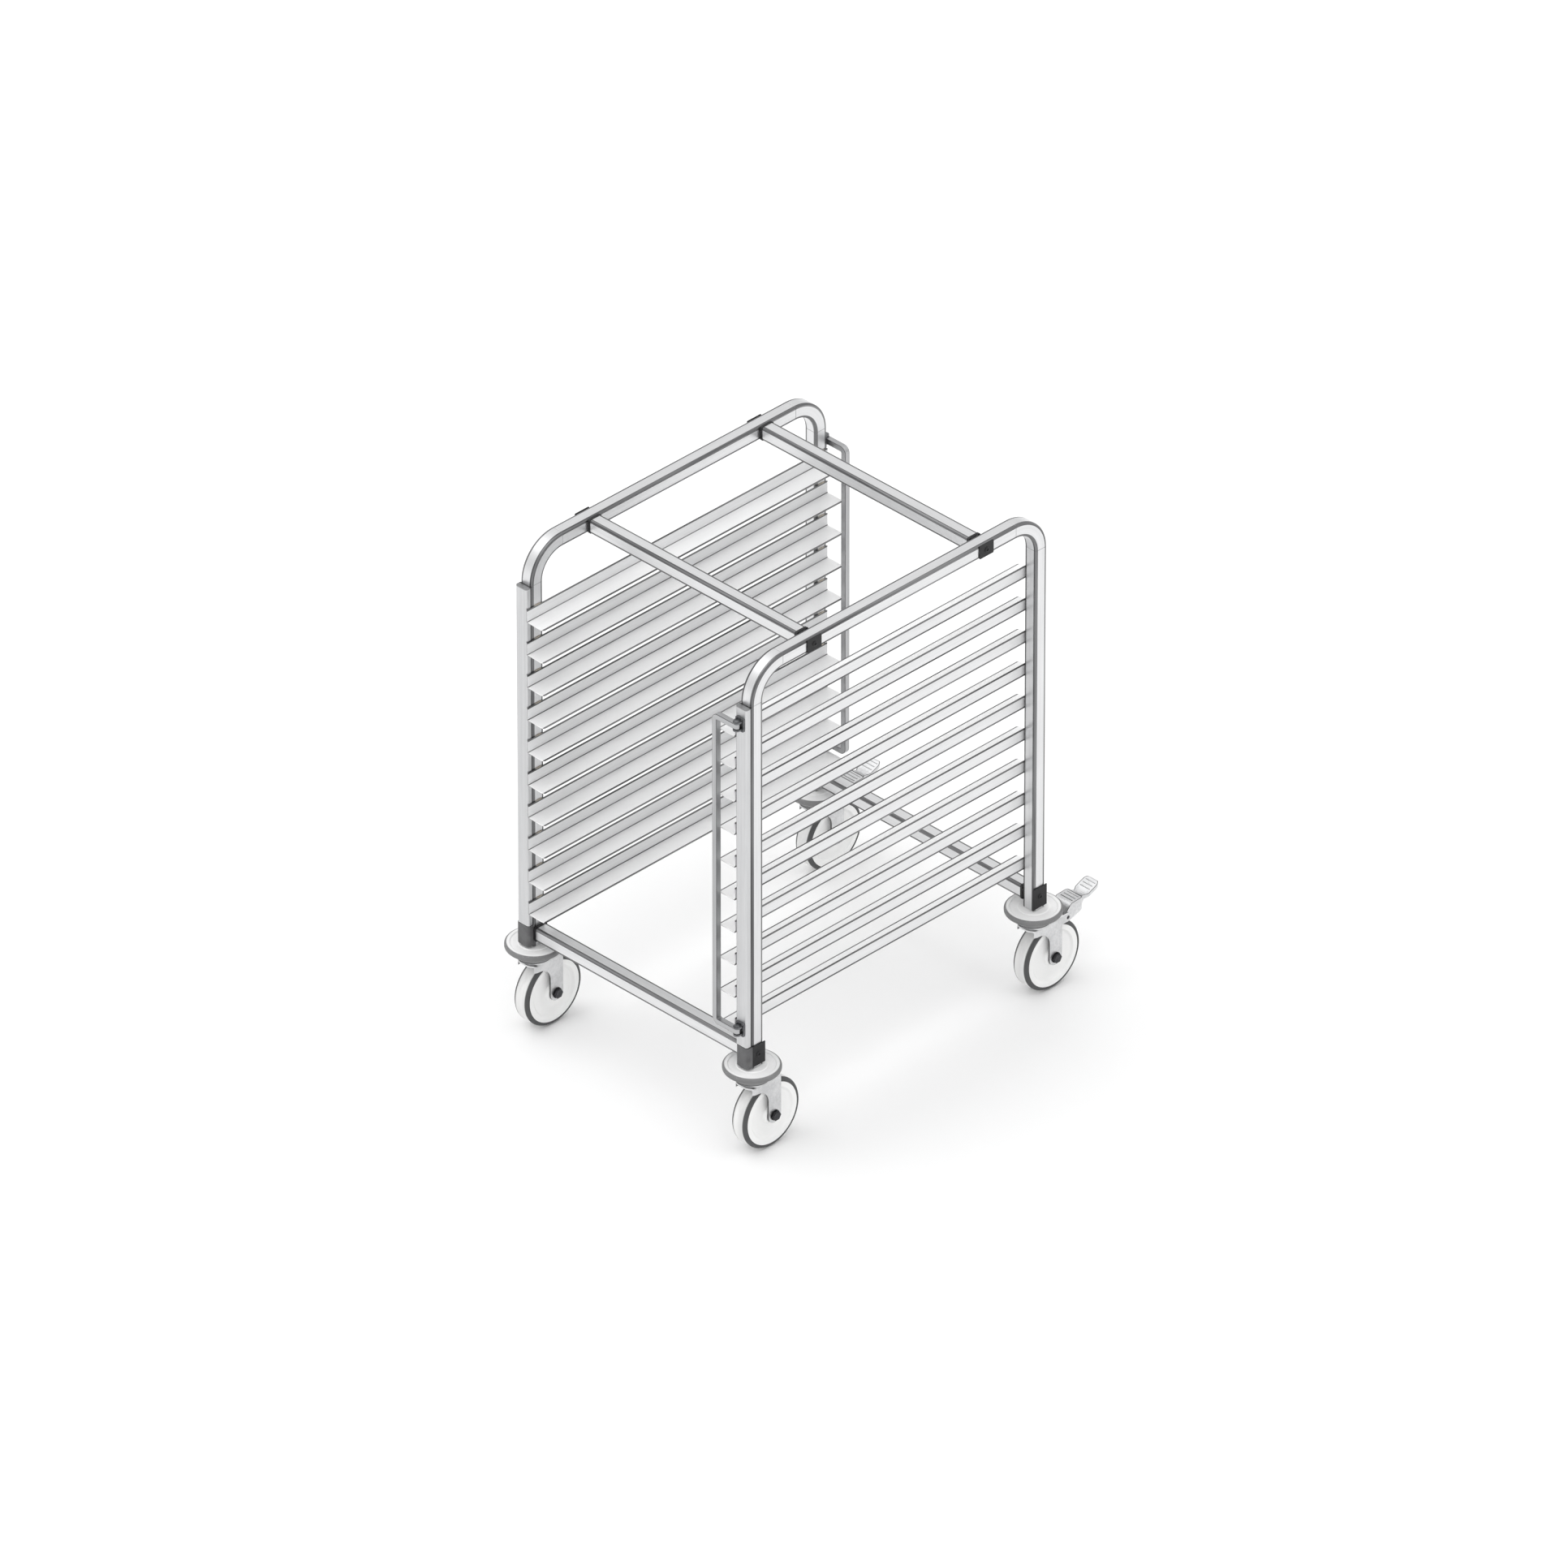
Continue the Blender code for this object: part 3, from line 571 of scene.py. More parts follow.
def moulded_plastic(name, light, dark, worn, roughness, grain_size, metal=0.0):
    """Moulded plastic or rubber: eroded-mould texture, soft colour drift, scuffs, and edges painted towards
    the worn colour, partly as rubbing and partly as a painted sheen.
    """
    finish = Finish(name, metal, specular=0.35)
    texture = finish.noise((grain_size, grain_size, grain_size), 2.0, 0.5)
    drift = finish.noise((45, 45, 45), 3.0)
    scuffs = finish.remap(finish.noise((150, 1100, 150), 5.0, 0.7), 0.60, 0.72, 0, 1)
    edge = finish.attribute("edge").outputs["Fac"]
    colour = finish.mix(finish.remap(drift, 0.35, 0.65, 0, 1), dark, light)
    # Edges are painted towards the worn colour, partly as rubbing and partly as a painted sheen; scuffs are
    # wear.
    painted_light_and_wear = finish.add(finish.times(edge, 0.35), finish.times(scuffs, 0.30),
                          clamp=True)
    colour = finish.mix(painted_light_and_wear, colour, worn)
    rough = finish.remap(finish.add(drift, texture), 0.7, 1.3, roughness - 0.10, roughness + 0.10)
    rough = finish.maths("SUBTRACT", rough, finish.times(scuffs, 0.08))
    fine = finish.bump(texture, 0.00007, 0.6)
    return finish.done(colour, rough, finish.bump(scuffs, 0.00005, 0.3, fine))


def tyre_rubber(name, side, tread, rolling_radius):
    """Grey wheel tyre whose rolling face is painted much lighter, partly as wear and mostly as painted
    light, varying along its run.
    """
    finish = Finish(name, 0.0, specular=0.3)
    texture = finish.noise((1500, 1500, 1500), 2.0)
    drift = finish.noise((60, 60, 160), 4.0)
    across = finish.remap(finish.maths("ABSOLUTE", finish.grain_axis("Y")), 0.0112, 0.0092, 0, 1)
    outer = finish.remap(finish.grain_axis("X"), rolling_radius - 0.0022, rolling_radius - 0.0006, 0, 1)
    tread_face = finish.times(across, outer)
    # The rolling face is painted much lighter: partly wear, mostly painted light.
    painted_light_and_wear = finish.times(tread_face, finish.remap(drift, 0.3, 0.7, 0.75, 1.0))
    base = finish.mix(finish.remap(drift, 0.35, 0.65, 0, 1), tuple(part * 0.86 for part in side), side)
    colour = finish.mix(painted_light_and_wear, base, tread)
    rough = finish.remap(finish.add(drift, texture), 0.7, 1.3, 0.50, 0.72)
    return finish.done(colour, rough, finish.bump(texture, 0.00009, 0.6))


def weld_steel(name):
    """Weld bead, straw and blue from the heat, over bright ripples."""
    finish = Finish(name, 1.0)
    heat = finish.noise((420, 420, 420), 2.0)
    pits = finish.noise((2400, 2400, 2400), 2.0)
    straw = finish.mix(finish.remap(heat, 0.35, 0.55, 0, 1), (0.52, 0.50, 0.47), (0.46, 0.40, 0.31))
    colour = finish.mix(finish.remap(heat, 0.55, 0.72, 0, 0.7), straw, (0.26, 0.29, 0.36))
    return finish.done(colour, finish.remap(pits, 0.3, 0.7, 0.28, 0.46), finish.bump(pits, 0.00008, 0.5))


def bumper_rubber(name, top, body, lip, top_z, low_z):
    """Moulded bumper: a painted pale highlight on top, painted shade grey on its cone, and a painted dark
    shadow line along its lower lip.
    """
    finish = Finish(name, 0.0, specular=0.35)
    texture = finish.noise((1500, 1500, 1500), 2.0, 0.5)
    drift = finish.noise((60, 60, 60), 3.0)
    scuffs = finish.remap(finish.noise((300, 300, 900), 5.0, 0.7), 0.58, 0.70, 0, 1)
    wavering = finish.add(finish.grain_axis("Y"), finish.times(drift, 0.0004))
    rim = finish.remap(finish.grain_axis("X"), 0.0436, 0.0452, 1, 0)
    # Painted highlight: the top inside the shoulder is painted pale.
    upper = finish.times(rim, finish.remap(wavering, top_z - 0.0040, top_z - 0.0026, 0, 1))
    colour = finish.mix(upper, body, top)
    # Painted shadow: a dark line along the lower lip.
    colour = finish.mix(finish.remap(wavering, low_z + 0.0024, low_z + 0.0032, 1, 0), colour, lip)
    colour = finish.mix(finish.remap(drift, 0.35, 0.65, 0, 0.14), colour, (0.5, 0.5, 0.5))
    colour = finish.mix(finish.times(scuffs, 0.22), colour, (0.62, 0.62, 0.62))
    rough = finish.remap(finish.add(drift, texture), 0.7, 1.3, 0.46, 0.64)
    fine = finish.bump(texture, 0.00007, 0.6)
    return finish.done(colour, rough, finish.bump(scuffs, 0.00005, 0.3, fine))


STEEL_LIGHT = (0.80, 0.803, 0.81)
STEEL_DARK = (0.69, 0.693, 0.70)
# Near-black painted shade for the frame steel's corners and edges
STEEL_EDGE_SHADE = (0.085, 0.085, 0.088)
BUMPER_LOW, BUMPER_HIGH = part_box("caster_bumper_right_rear")

FINISHES = {
    "frame_steel": brushed_steel("frame_steel", STEEL_LIGHT, STEEL_DARK, STEEL_EDGE_SHADE, 0.34),
    # Painted shade: the channel steel is a darker copy of the frame steel, for the shade on the channels'
    # front faces.
    "channel_steel": brushed_steel("channel_steel", (0.66, 0.663, 0.67), (0.54, 0.543, 0.55),
                                   (0.03, 0.03, 0.032), 0.38),
    # Runner steel: a lighter, less metallic copy of the frame steel, with painted light on its ledges.
    "runner_steel": brushed_steel("runner_steel", (0.84, 0.843, 0.85), (0.74, 0.743, 0.75),
                                  (0.02, 0.02, 0.021), 0.40, ledge_wear_and_light=True, metallic=0.3),
    "bar_steel": brushed_steel("bar_steel", (0.50, 0.503, 0.51), (0.38, 0.383, 0.39), (0.12, 0.12, 0.125),
                               0.34),
    "lug_steel": plated_steel("lug_steel", (0.22, 0.223, 0.23), (0.14, 0.143, 0.15), 0.38),
    "cover_plastic": moulded_plastic("cover_plastic", (0.012, 0.012, 0.013), (0.007, 0.007, 0.008),
                                     (0.035, 0.035, 0.037), 0.48, 1700),
    # Bumper colours: painted pale top, painted shade grey cone, painted dark shadow line at the lip.
    "bumper_rubber": bumper_rubber("bumper_rubber", (0.88, 0.88, 0.88), (0.17, 0.171, 0.173),
                                   (0.05, 0.05, 0.052), BUMPER_HIGH.z, BUMPER_LOW.z),
    "wheel_plastic": moulded_plastic("wheel_plastic", (0.93, 0.93, 0.925), (0.88, 0.88, 0.875),
                                     (0.76, 0.76, 0.75), 0.42, 1300),
    "fork_steel": plated_steel("fork_steel", (0.72, 0.723, 0.73), (0.58, 0.583, 0.59), 0.36),
    "stem_steel": plated_steel("stem_steel", (0.55, 0.555, 0.57), (0.42, 0.43, 0.44), 0.34),
    "axle_steel": plated_steel("axle_steel", (0.09, 0.09, 0.095), (0.05, 0.05, 0.055), 0.36),
    "pedal_steel": plated_steel("pedal_steel", (0.72, 0.723, 0.73), (0.60, 0.603, 0.61), 0.34),
}
# Painted light: the feet are a lighter grey copy of the black cover plastic, for the light on the covers'
# front faces.
FOOT_PLASTIC_PAINTED_LIGHT = moulded_plastic("foot_plastic_painted_light", (0.13, 0.13, 0.133), (0.09, 0.09, 0.092), (0.22, 0.22, 0.22),
                       0.5, 1500)
TYRE = tyre_rubber("tyre_rubber", (0.09, 0.091, 0.093), (0.86, 0.86, 0.855), 0.0625)
WELD = weld_steel("weld_steel")


# --- pieces ----------------------------------------------------------------------------------------

def add_piece(name, mesh, body, slot, at=(0, 0, 0), turn=0.0, replaces=(), finish=None):
    """Show a mesh as one named piece that rides on a body; turn is about +Z."""
    obj = bpy.data.objects.new(name, mesh)
    bpy.context.scene.collection.objects.link(obj)
    if not mesh.materials:
        mesh.materials.append(finish or FINISHES[slot])
    obj.matrix_world = Matrix.Translation(Vector(at)) @ Matrix.Rotation(turn, 4, "Z")
    obj["seed"] = SCATTER.uniform(0.0, 40.0)
    normals = obj.modifiers.new("weighted_normals", "WEIGHTED_NORMAL")
    normals.keep_sharp = True
    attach(obj, body)
    if replaces:
        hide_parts(*replaces)
    return obj


# --- frame -----------------------------------------------------------------------------------------

def side_frame_stations():
    """Stations of one inverted U, foot to foot, with a fine seam where each bend begins and ends, painted
    dark as a shade line.
    """
    half_y = (UPRIGHT_Y["rear"] - UPRIGHT_Y["front"]) / 2
    middle_y = (UPRIGHT_Y["rear"] + UPRIGHT_Y["front"]) / 2
    bend_z = RAIL_Z - BEND_RADIUS
    along_x = Vector((1, 0, 0))
    straight = bend_z - FOOT_Z
    quarter = BEND_RADIUS * math.pi / 2
    stations = [(Vector((0, middle_y - half_y, FOOT_Z)), along_x, Vector((0, -1, 0)), 0.0, 0.0)]
    start = straight
    for side, first in ((-1, 180), (1, 90)):
        for step in range(BEND_STEPS + 1):
            angle = math.radians(first - 90 * step / BEND_STEPS)
            across = Vector((0, math.cos(angle), math.sin(angle)))
            hub = Vector((0, middle_y + side * (half_y - BEND_RADIUS), bend_z))
            centre = hub + across * BEND_RADIUS
            distance = start + quarter * step / BEND_STEPS
            ahead = Vector((0, across.z, -across.y))
            if step in (0, BEND_STEPS):
                for offset, groove in ((-1, 0), (0, SEAM_DEPTH), (1, 0)):
                    shift = offset * SEAM_WIDTH / 2
                    stations.append((centre + ahead * shift, along_x, across, distance + shift, groove))
            else:
                stations.append((centre, along_x, across, distance, 0.0))
        start += quarter + 2 * (half_y - BEND_RADIUS)
    stations.append((Vector((0, middle_y + half_y, FOOT_Z)), along_x, Vector((0, 1, 0)),
                     start - 2 * (half_y - BEND_RADIUS) + straight, 0.0))
    return stations


def build_frame():
    """Side frames, crossbars with their end collars, and the two front channels."""
    hoop = square_tube("side_frame", side_frame_stations(), TUBE, TUBE_CORNER, TUBE_WALL)
    for side in ("left", "right"):
        node = f"{side}_side_frame"
        add_piece(f"{side}_side_frame_tube", hoop, "frame", "frame_steel", (middle(node).x, 0, 0),
                  replaces=[node])
    up = Vector((0, 0, 1))
    across = Vector((0, 1, 0))
    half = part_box("upper_crossbar_front")[1].x
    stations = [(Vector((x, 0, 0)), across, up, x, 0.0) for x in (-half, half)]
    bar = square_tube("crossbar", stations, TUBE, TUBE_CORNER, TUBE_WALL)
    collar_side = TUBE + 2 * COLLAR_PROUD
    stations = [(Vector((x, 0, 0)), across, up, x, 0.0) for x in (0, COLLAR_LENGTH)]
    collar = square_tube("collar", stations, collar_side, TUBE_CORNER + COLLAR_PROUD, COLLAR_PROUD - 0.0001)
    collars = []
    for level in ("upper", "lower"):
        for end in ("front", "rear"):
            node = f"{level}_crossbar_{end}"
            place = middle(node)
            add_piece(f"{node}_tube", bar, "frame", "frame_steel", (0, place.y, place.z), replaces=[node])
            for x in (-half, half - COLLAR_LENGTH):
                collars.append(moved(collar.copy(), (x, place.y, place.z)))
    add_piece("crossbar_collars", joined("collars", collars), "frame", "cover_plastic")
    for side in ("left", "right"):
        node = f"{side}_front_channel"
        add_piece(f"{node}_strip", channel_mesh(node), "frame", "channel_steel", (middle(node).x, 0, 0),
                  replaces=[node])


def channel_mesh(node):
    """Folded channel open towards the tube, with a cap on its top end, in its own place but for x."""
    low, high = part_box(node)
    half = (high.x - low.x) / 2
    wall = CHANNEL_WALL
    back = high.y
    outside = [(-half, back, 0), (-half, back - RIM, 0), (-half, back - RIM - RIM_FADE, 0),
               (-half, low.y, CHANNEL_CORNER), (half, low.y, CHANNEL_CORNER),
               (half, back - RIM - RIM_FADE, 0), (half, back - RIM, 0), (half, back, 0)]
    inside = [(half - wall, back, 0), (half - wall, low.y + wall, CHANNEL_CORNER - wall),
              (wall - half, low.y + wall, CHANNEL_CORNER - wall), (wall - half, back, 0)]
    mesh = extruded(filleted(outside + inside, 0, 8), low.z, high.z - 0.0008, "Z")
    cap = extruded(filleted(outside, 0, 8), high.z - 0.0022, high.z, "Z")
    mesh = combine(mesh, cap, "UNION")
    bm = bmesh.new()
    bm.from_mesh(mesh)
    grain = bm.verts.layers.float_vector.new("grain")
    edge = bm.verts.layers.float.new("edge")
    for vert in bm.verts:
        vert[grain] = vert.co
        # Painted shade: the strip beside the tube is painted dark as the shade in the gap to the tube, and
        # the top end half-dark.
        beside_tube = vert.co.y > back - RIM - RIM_FADE / 2
        end = vert.co.z > high.z - 0.0009
        vert[edge] = 1.0 if beside_tube else 0.6 if end else 0.0
    return finish_mesh(bm, "channel", 32)


# --- runners ---------------------------------------------------------------------------------------

def runner_mesh():
    """L-shaped runner for the right side: web at x = 0, ledge towards -X, its underside at z = 0."""
    low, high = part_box("right_runner_01")
    depth = high.x - low.x
    web = high.z - low.z
    half = (high.y - low.y) / 2
    thick = RUNNER_THICKNESS
    rim_end = RIM + RIM_FADE
    foot = RUNNER_BEND + RUNNER_FOOT
    outline = [(-thick, web, 0.0006), (0, web, 0.0006), (0, web - RIM, 0), (0, web - rim_end, 0),
               (0, foot + RIM_FADE, 0), (0, foot, 0), (0, 0, RUNNER_BEND),
               (rim_end - depth, 0, 0), (RIM - depth, 0, 0), (-depth, 0, 0.0006),
               (-depth, thick, 0.0006), (RIM - depth, thick, 0), (rim_end - depth, thick, 0),
               (-thick, thick, RUNNER_BEND - thick), (-thick, web - rim_end, 0), (-thick, web - RIM, 0)]
    mesh = extruded(filleted(outline, 0, 5), -half, half, "Y")
    plan = [(0.001, -half, 0), (0.001, half, 0), (-depth, half, RUNNER_TIP), (-depth, -half, RUNNER_TIP)]
    mesh = combine(mesh, extruded(filleted(plan, 0, 8), -0.01, web + 0.01, "Z"), "INTERSECT")
    bm = bmesh.new()
    bm.from_mesh(mesh)
    grain = bm.verts.layers.float_vector.new("grain")
    edge = bm.verts.layers.float.new("edge")
    for vert in bm.verts:
        x, y, z = vert.co
        vert[grain] = (x, z, y)
        # Painted shade: the fold, the strip above it and the free sheet edges are marked to be painted
        # dark.
        folded = x > 0.0004 - RUNNER_BEND and z < RUNNER_BEND - 0.0004
        rim = z > web - RIM - RIM_FADE / 2 or x < RIM + RIM_FADE / 2 - depth
        at_foot = x > -0.0001 and z < foot + RIM_FADE / 2
        vert[edge] = 1.0 if folded or rim or at_foot else 0.0
    return finish_mesh(bm, "runner", 40)


def bead_mesh(length, radius):
    """Rippled weld bead along Y, centred, with tapered ends."""
    bm = bmesh.new()
    grain = bm.verts.layers.float_vector.new("grain")
    rings = []
    steps = 18
    around = 8
    for step in range(steps + 1):
        share = step / steps
        swell = math.sin(math.pi * share) ** 0.35 if 0 < share < 1 else 0.05
        ripple = 1 - 0.14 * (step % 2)
        ring = []
        for turn in range(around):
            angle = math.tau * turn / around
            size = radius * swell * ripple
            vert = bm.verts.new((size * math.cos(angle), (share - 0.5) * length, size * math.sin(angle)))
            vert[grain] = vert.co
            ring.append(vert)
        rings.append(ring)
    for one, other in zip(rings, rings[1:]):
        bridge(bm, one, other)
    bm.faces.new(rings[0])
    bm.faces.new(rings[-1])
    return finish_mesh(bm, "bead", 75)


def build_runners():
    """Twenty runners and the welds that hold them to the uprights."""
    right = runner_mesh()
    left = right.copy()
    left.transform(Matrix.Scale(-1, 4, (1, 0, 0)))
    left.flip_normals()
    bead = bead_mesh(0.015, 0.0013)
    for side, mesh, sign in (("left", left, -1), ("right", right, 1)):
        welds = []
        for tier in range(1, TIERS + 1):
            node = f"{side}_runner_{tier:02d}"
            low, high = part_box(node)
            face_x = sign * max(abs(low.x), abs(high.x))
            add_piece(f"{node}_angle", mesh, "frame", "runner_steel", (face_x, (low.y + high.y) / 2, low.z),
                      replaces=[node])
            for y in UPRIGHT_Y.values():
                for z in (high.z, low.z + 0.0006):
                    x = face_x - sign * 0.0004
                    welds.append(moved(bead.copy(), (x, y, z)))
        add_piece(f"{side}_runner_welds", joined("welds", welds), "frame", "runner_steel", finish=WELD)


# --- joint covers ----------------------------------------------------------------------------------

def facing(sign):
    """Rotation that turns a screw's +Z to face +X or -X."""
    return Matrix.Rotation(sign * math.pi / 2, 4, "Y")


def build_joint_covers():
    """Black covers over the crossbar joints, with their screws, and the channels' feet, grey as painted
    light.
    """
    screws = []
    head = button_screw(0.0048, 0.0016)
    for corner in CORNERS:
        node = f"joint_cover_{corner}"
        low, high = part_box(node)
        sign = 1 if high.x > 0 else -1
        far = max(abs(low.x), abs(high.x)) * sign
        near = far - sign * COVER_THICKNESS
        height = high.z - low.z
        start = low.y
        if corner.endswith("front"):
            inner = HALF_X * sign - sign * TUBE / 2
            tube_front = UPRIGHT_Y["front"] - TUBE / 2 - CLEARANCE
            outline = [(far, tube_front, 0.0006), (inner, tube_front, 0.0006),
                       (inner, low.y, CHANNEL_CORNER), (far, low.y, CHANNEL_CORNER)]
            foot = extruded(filleted(outline, 0, 8), low.z, high.z, "Z")
            foot = softened(foot, 0.0009, axis_grain("Z"), 3)
            # The foot's lighter grey is painted light on the cover's front face.
            add_piece(f"{node}_foot", foot, "frame", "cover_plastic", replaces=[node], finish=FOOT_PLASTIC_PAINTED_LIGHT)
            start = tube_front + 0.0002
        mesh = extruded([(near, start), (far, start), (far, high.y), (near, high.y)], low.z, high.z, "Z")
        mesh = softened(mesh, 0.0007, axis_grain("Z"), 3)
        add_piece(f"{node}_shell", mesh, "frame", "cover_plastic", replaces=[node])
        screw_y = UPRIGHT_Y["front" if corner.endswith("front") else "rear"]
        screw = head.copy()
        screw.transform(facing(sign))
        screws.append(moved(screw, (far - sign * 0.0001, screw_y, low.z + height * 0.54)))
    half_length = UPPER_COVER_LENGTH / 2
    half_height = TUBE / 2 - 0.0002
    for end in ("front", "rear"):
        place = middle(f"upper_crossbar_{end}")
        for side, sign in (("left", -1), ("right", 1)):
            near = sign * (HALF_X + TUBE / 2 + 0.0001)
            far = near + sign * COVER_THICKNESS
            mesh = extruded(filleted(rectangle(half_length, half_height), 0.002),
                            min(near, far), max(near, far), "X")
            mesh = softened(mesh, 0.0007, axis_grain("Y"), 3)
            add_piece(f"upper_joint_cover_{side}_{end}", mesh, "frame", "cover_plastic",
                      (0, place.y, place.z))
            screw = head.copy()
            screw.transform(facing(sign))
            screws.append(moved(screw, (far - sign * 0.0001, place.y, place.z)))
    add_piece("joint_cover_screws", joined("screws", screws), "frame", "cover_plastic")


# --- retaining bars --------------------------------------------------------------------------------

def retaining_bar_mesh():
    """C-shaped bar about its hinge: the axis is local Z, the arms reach along -X, z = 0 is its middle."""
    low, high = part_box("front_retaining_bar")
    hinge = anchor("front_bar_hinge")
    half = (high.y - low.y) / 2
    top = (high.z - low.z) / 2
    far = low.x - hinge.x
    near = far + 2 * half
    below = top - 2 * half
    inside = BAR_CORNER - 2 * half
    side_view = [(2 * half, top, 0), (far, top, BAR_CORNER), (far, -top, BAR_CORNER), (2 * half, -top, 0),
                 (2 * half, -below, 0), (near, -below, inside), (near, below, inside), (2 * half, below, 0)]
    mesh = extruded(filleted(side_view, 0, 10), -2 * half, 2 * half, "Y")
    plan = arc((0, 0), half, -90, 90, 16) + [(far * 2, half), (far * 2, -half)]
    mesh = combine(mesh, extruded(plan, -top * 2, top * 2, "Z"), "INTERSECT")
    mesh = combine(mesh, rod(PIN_RADIUS + CLEARANCE, -top * 2, top * 2), "DIFFERENCE")
    reach = far + half

    def bent_grain(point):
        """Grain along the bar: up the long stretch and out along the arms."""
        x, y, z = point
        if abs(z) > below - inside:
            return (y, abs(z) - top + half, math.copysign(top + x - far, z))
        return (y, x - reach, z)

    return softened(mesh, 0.0014, bent_grain, 3, 32)


def hinge_lug_mesh():
    """Lug about its pin: plate towards +Y, two rounded ears, and the pin with its riveted heads."""
    low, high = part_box("front_bar_lug_upper")
    hinge = anchor("front_bar_hinge")
    half_width = (high.x - low.x) / 2
    half_height = (high.z - low.z) / 2
    plate_back = high.y - hinge.y
    plate_front = plate_back - 0.003
    nose = hinge.y - low.y
    ear_inside = 0.0053
    ear_outside = ear_inside + 0.003
    plate = filleted(rectangle(half_width, half_height), 0.0025, 6)
    mesh = extruded(plate, plate_front, plate_back, "Y")
    ear_outline = arc((0, 0), nose, 180, 360, 16)
    ear_outline += [(nose, plate_front + 0.0015), (-nose, plate_front + 0.0015)]
    for start, end in ((ear_inside, ear_outside), (-ear_outside, -ear_inside)):
        mesh = combine(mesh, extruded(ear_outline, start, end, "Z"), "UNION")
    head = ear_outside + 0.0013
    seat = ear_outside - 0.0002
    upper = [(PIN_RADIUS, seat), (0.0042, seat), (0.0042, head - 0.0009), (0.0026, head), (0, head)]
    lower = [(radius, -height) for radius, height in reversed(upper)]
    pin = turned("pin", lower + upper, PIN_STEPS)
    mesh = combine(mesh, pin, "UNION")
    for x in (-0.0055, 0.0055):
        for z in (-0.0103, 0.0103):
            rivet = turned("rivet", [(0, -0.0005), (0.0015, -0.0005), (0.0015, 0.0002), (0.0009, 0.0008),
                                     (0, 0.0010)], 16)
            rivet.transform(Matrix.Rotation(math.pi / 2, 4, "X"))
            mesh = combine(mesh, moved(rivet, (x, plate_front, z)), "UNION")
    return softened(mesh, 0.0003, axis_grain("X"), 2, 30)


def build_retaining_bars():
    """The two swing-away bars with their lugs."""
    bar = retaining_bar_mesh()
    lug = hinge_lug_mesh()
    for end, turn in (("front", 0.0), ("rear", math.pi)):
        hinge = anchor(f"{end}_bar_hinge")
        node = f"{end}_retaining_bar"
        add_piece(f"{node}_rod", bar, f"{end}_bar", "bar_steel", hinge, turn, [node])
        for level in ("upper", "lower"):
            node = f"{end}_bar_lug_{level}"
            place = (hinge.x, hinge.y, middle(node).z)
            add_piece(f"{node}_bracket", lug, "frame", "lug_steel", place, turn, [node])


# --- casters ---------------------------------------------------------------------------------------

def caster_sizes():
    """Heights above the floor and distances from the swivel axis, read from the right rear caster."""
    swivel = anchor("swivel_right_rear")
    wheel = middle("caster_wheel_right_rear")
    pedal = anchor("brake_pedal_right_rear")
    wheel_low, wheel_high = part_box("caster_wheel_right_rear")
    fork_low, fork_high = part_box("caster_fork_right_rear")
    bumper_low, bumper_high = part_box("caster_bumper_right_rear")
    stem_low, stem_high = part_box("caster_stem_right_rear")
    axle_low, axle_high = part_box("caster_axle_right_rear")
    return {
        "trail": wheel.y - swivel.y, "axle_z": wheel.z, "wheel_radius": (wheel_high.z - wheel_low.z) / 2,
        "hub_half": (wheel_high.x - wheel_low.x) / 2, "race_top": fork_high.z,
        "crown_top": fork_high.z - 0.007, "crown_front": fork_low.y - swivel.y,
        "pedal_y": pedal.y - swivel.y, "pedal_z": pedal.z,
        "bumper_radius": (bumper_high.x - bumper_low.x) / 2, "bumper_low": bumper_low.z,
        "bumper_seat": stem_low.z + 0.004,
        "bumper_top": bumper_high.z, "stem_low": stem_low.z, "stem_top": stem_high.z,
        "stem_flange": (stem_high.x - stem_low.x) / 2, "axle_half": (axle_high.x - axle_low.x) / 2,
    }


SIZES = caster_sizes()


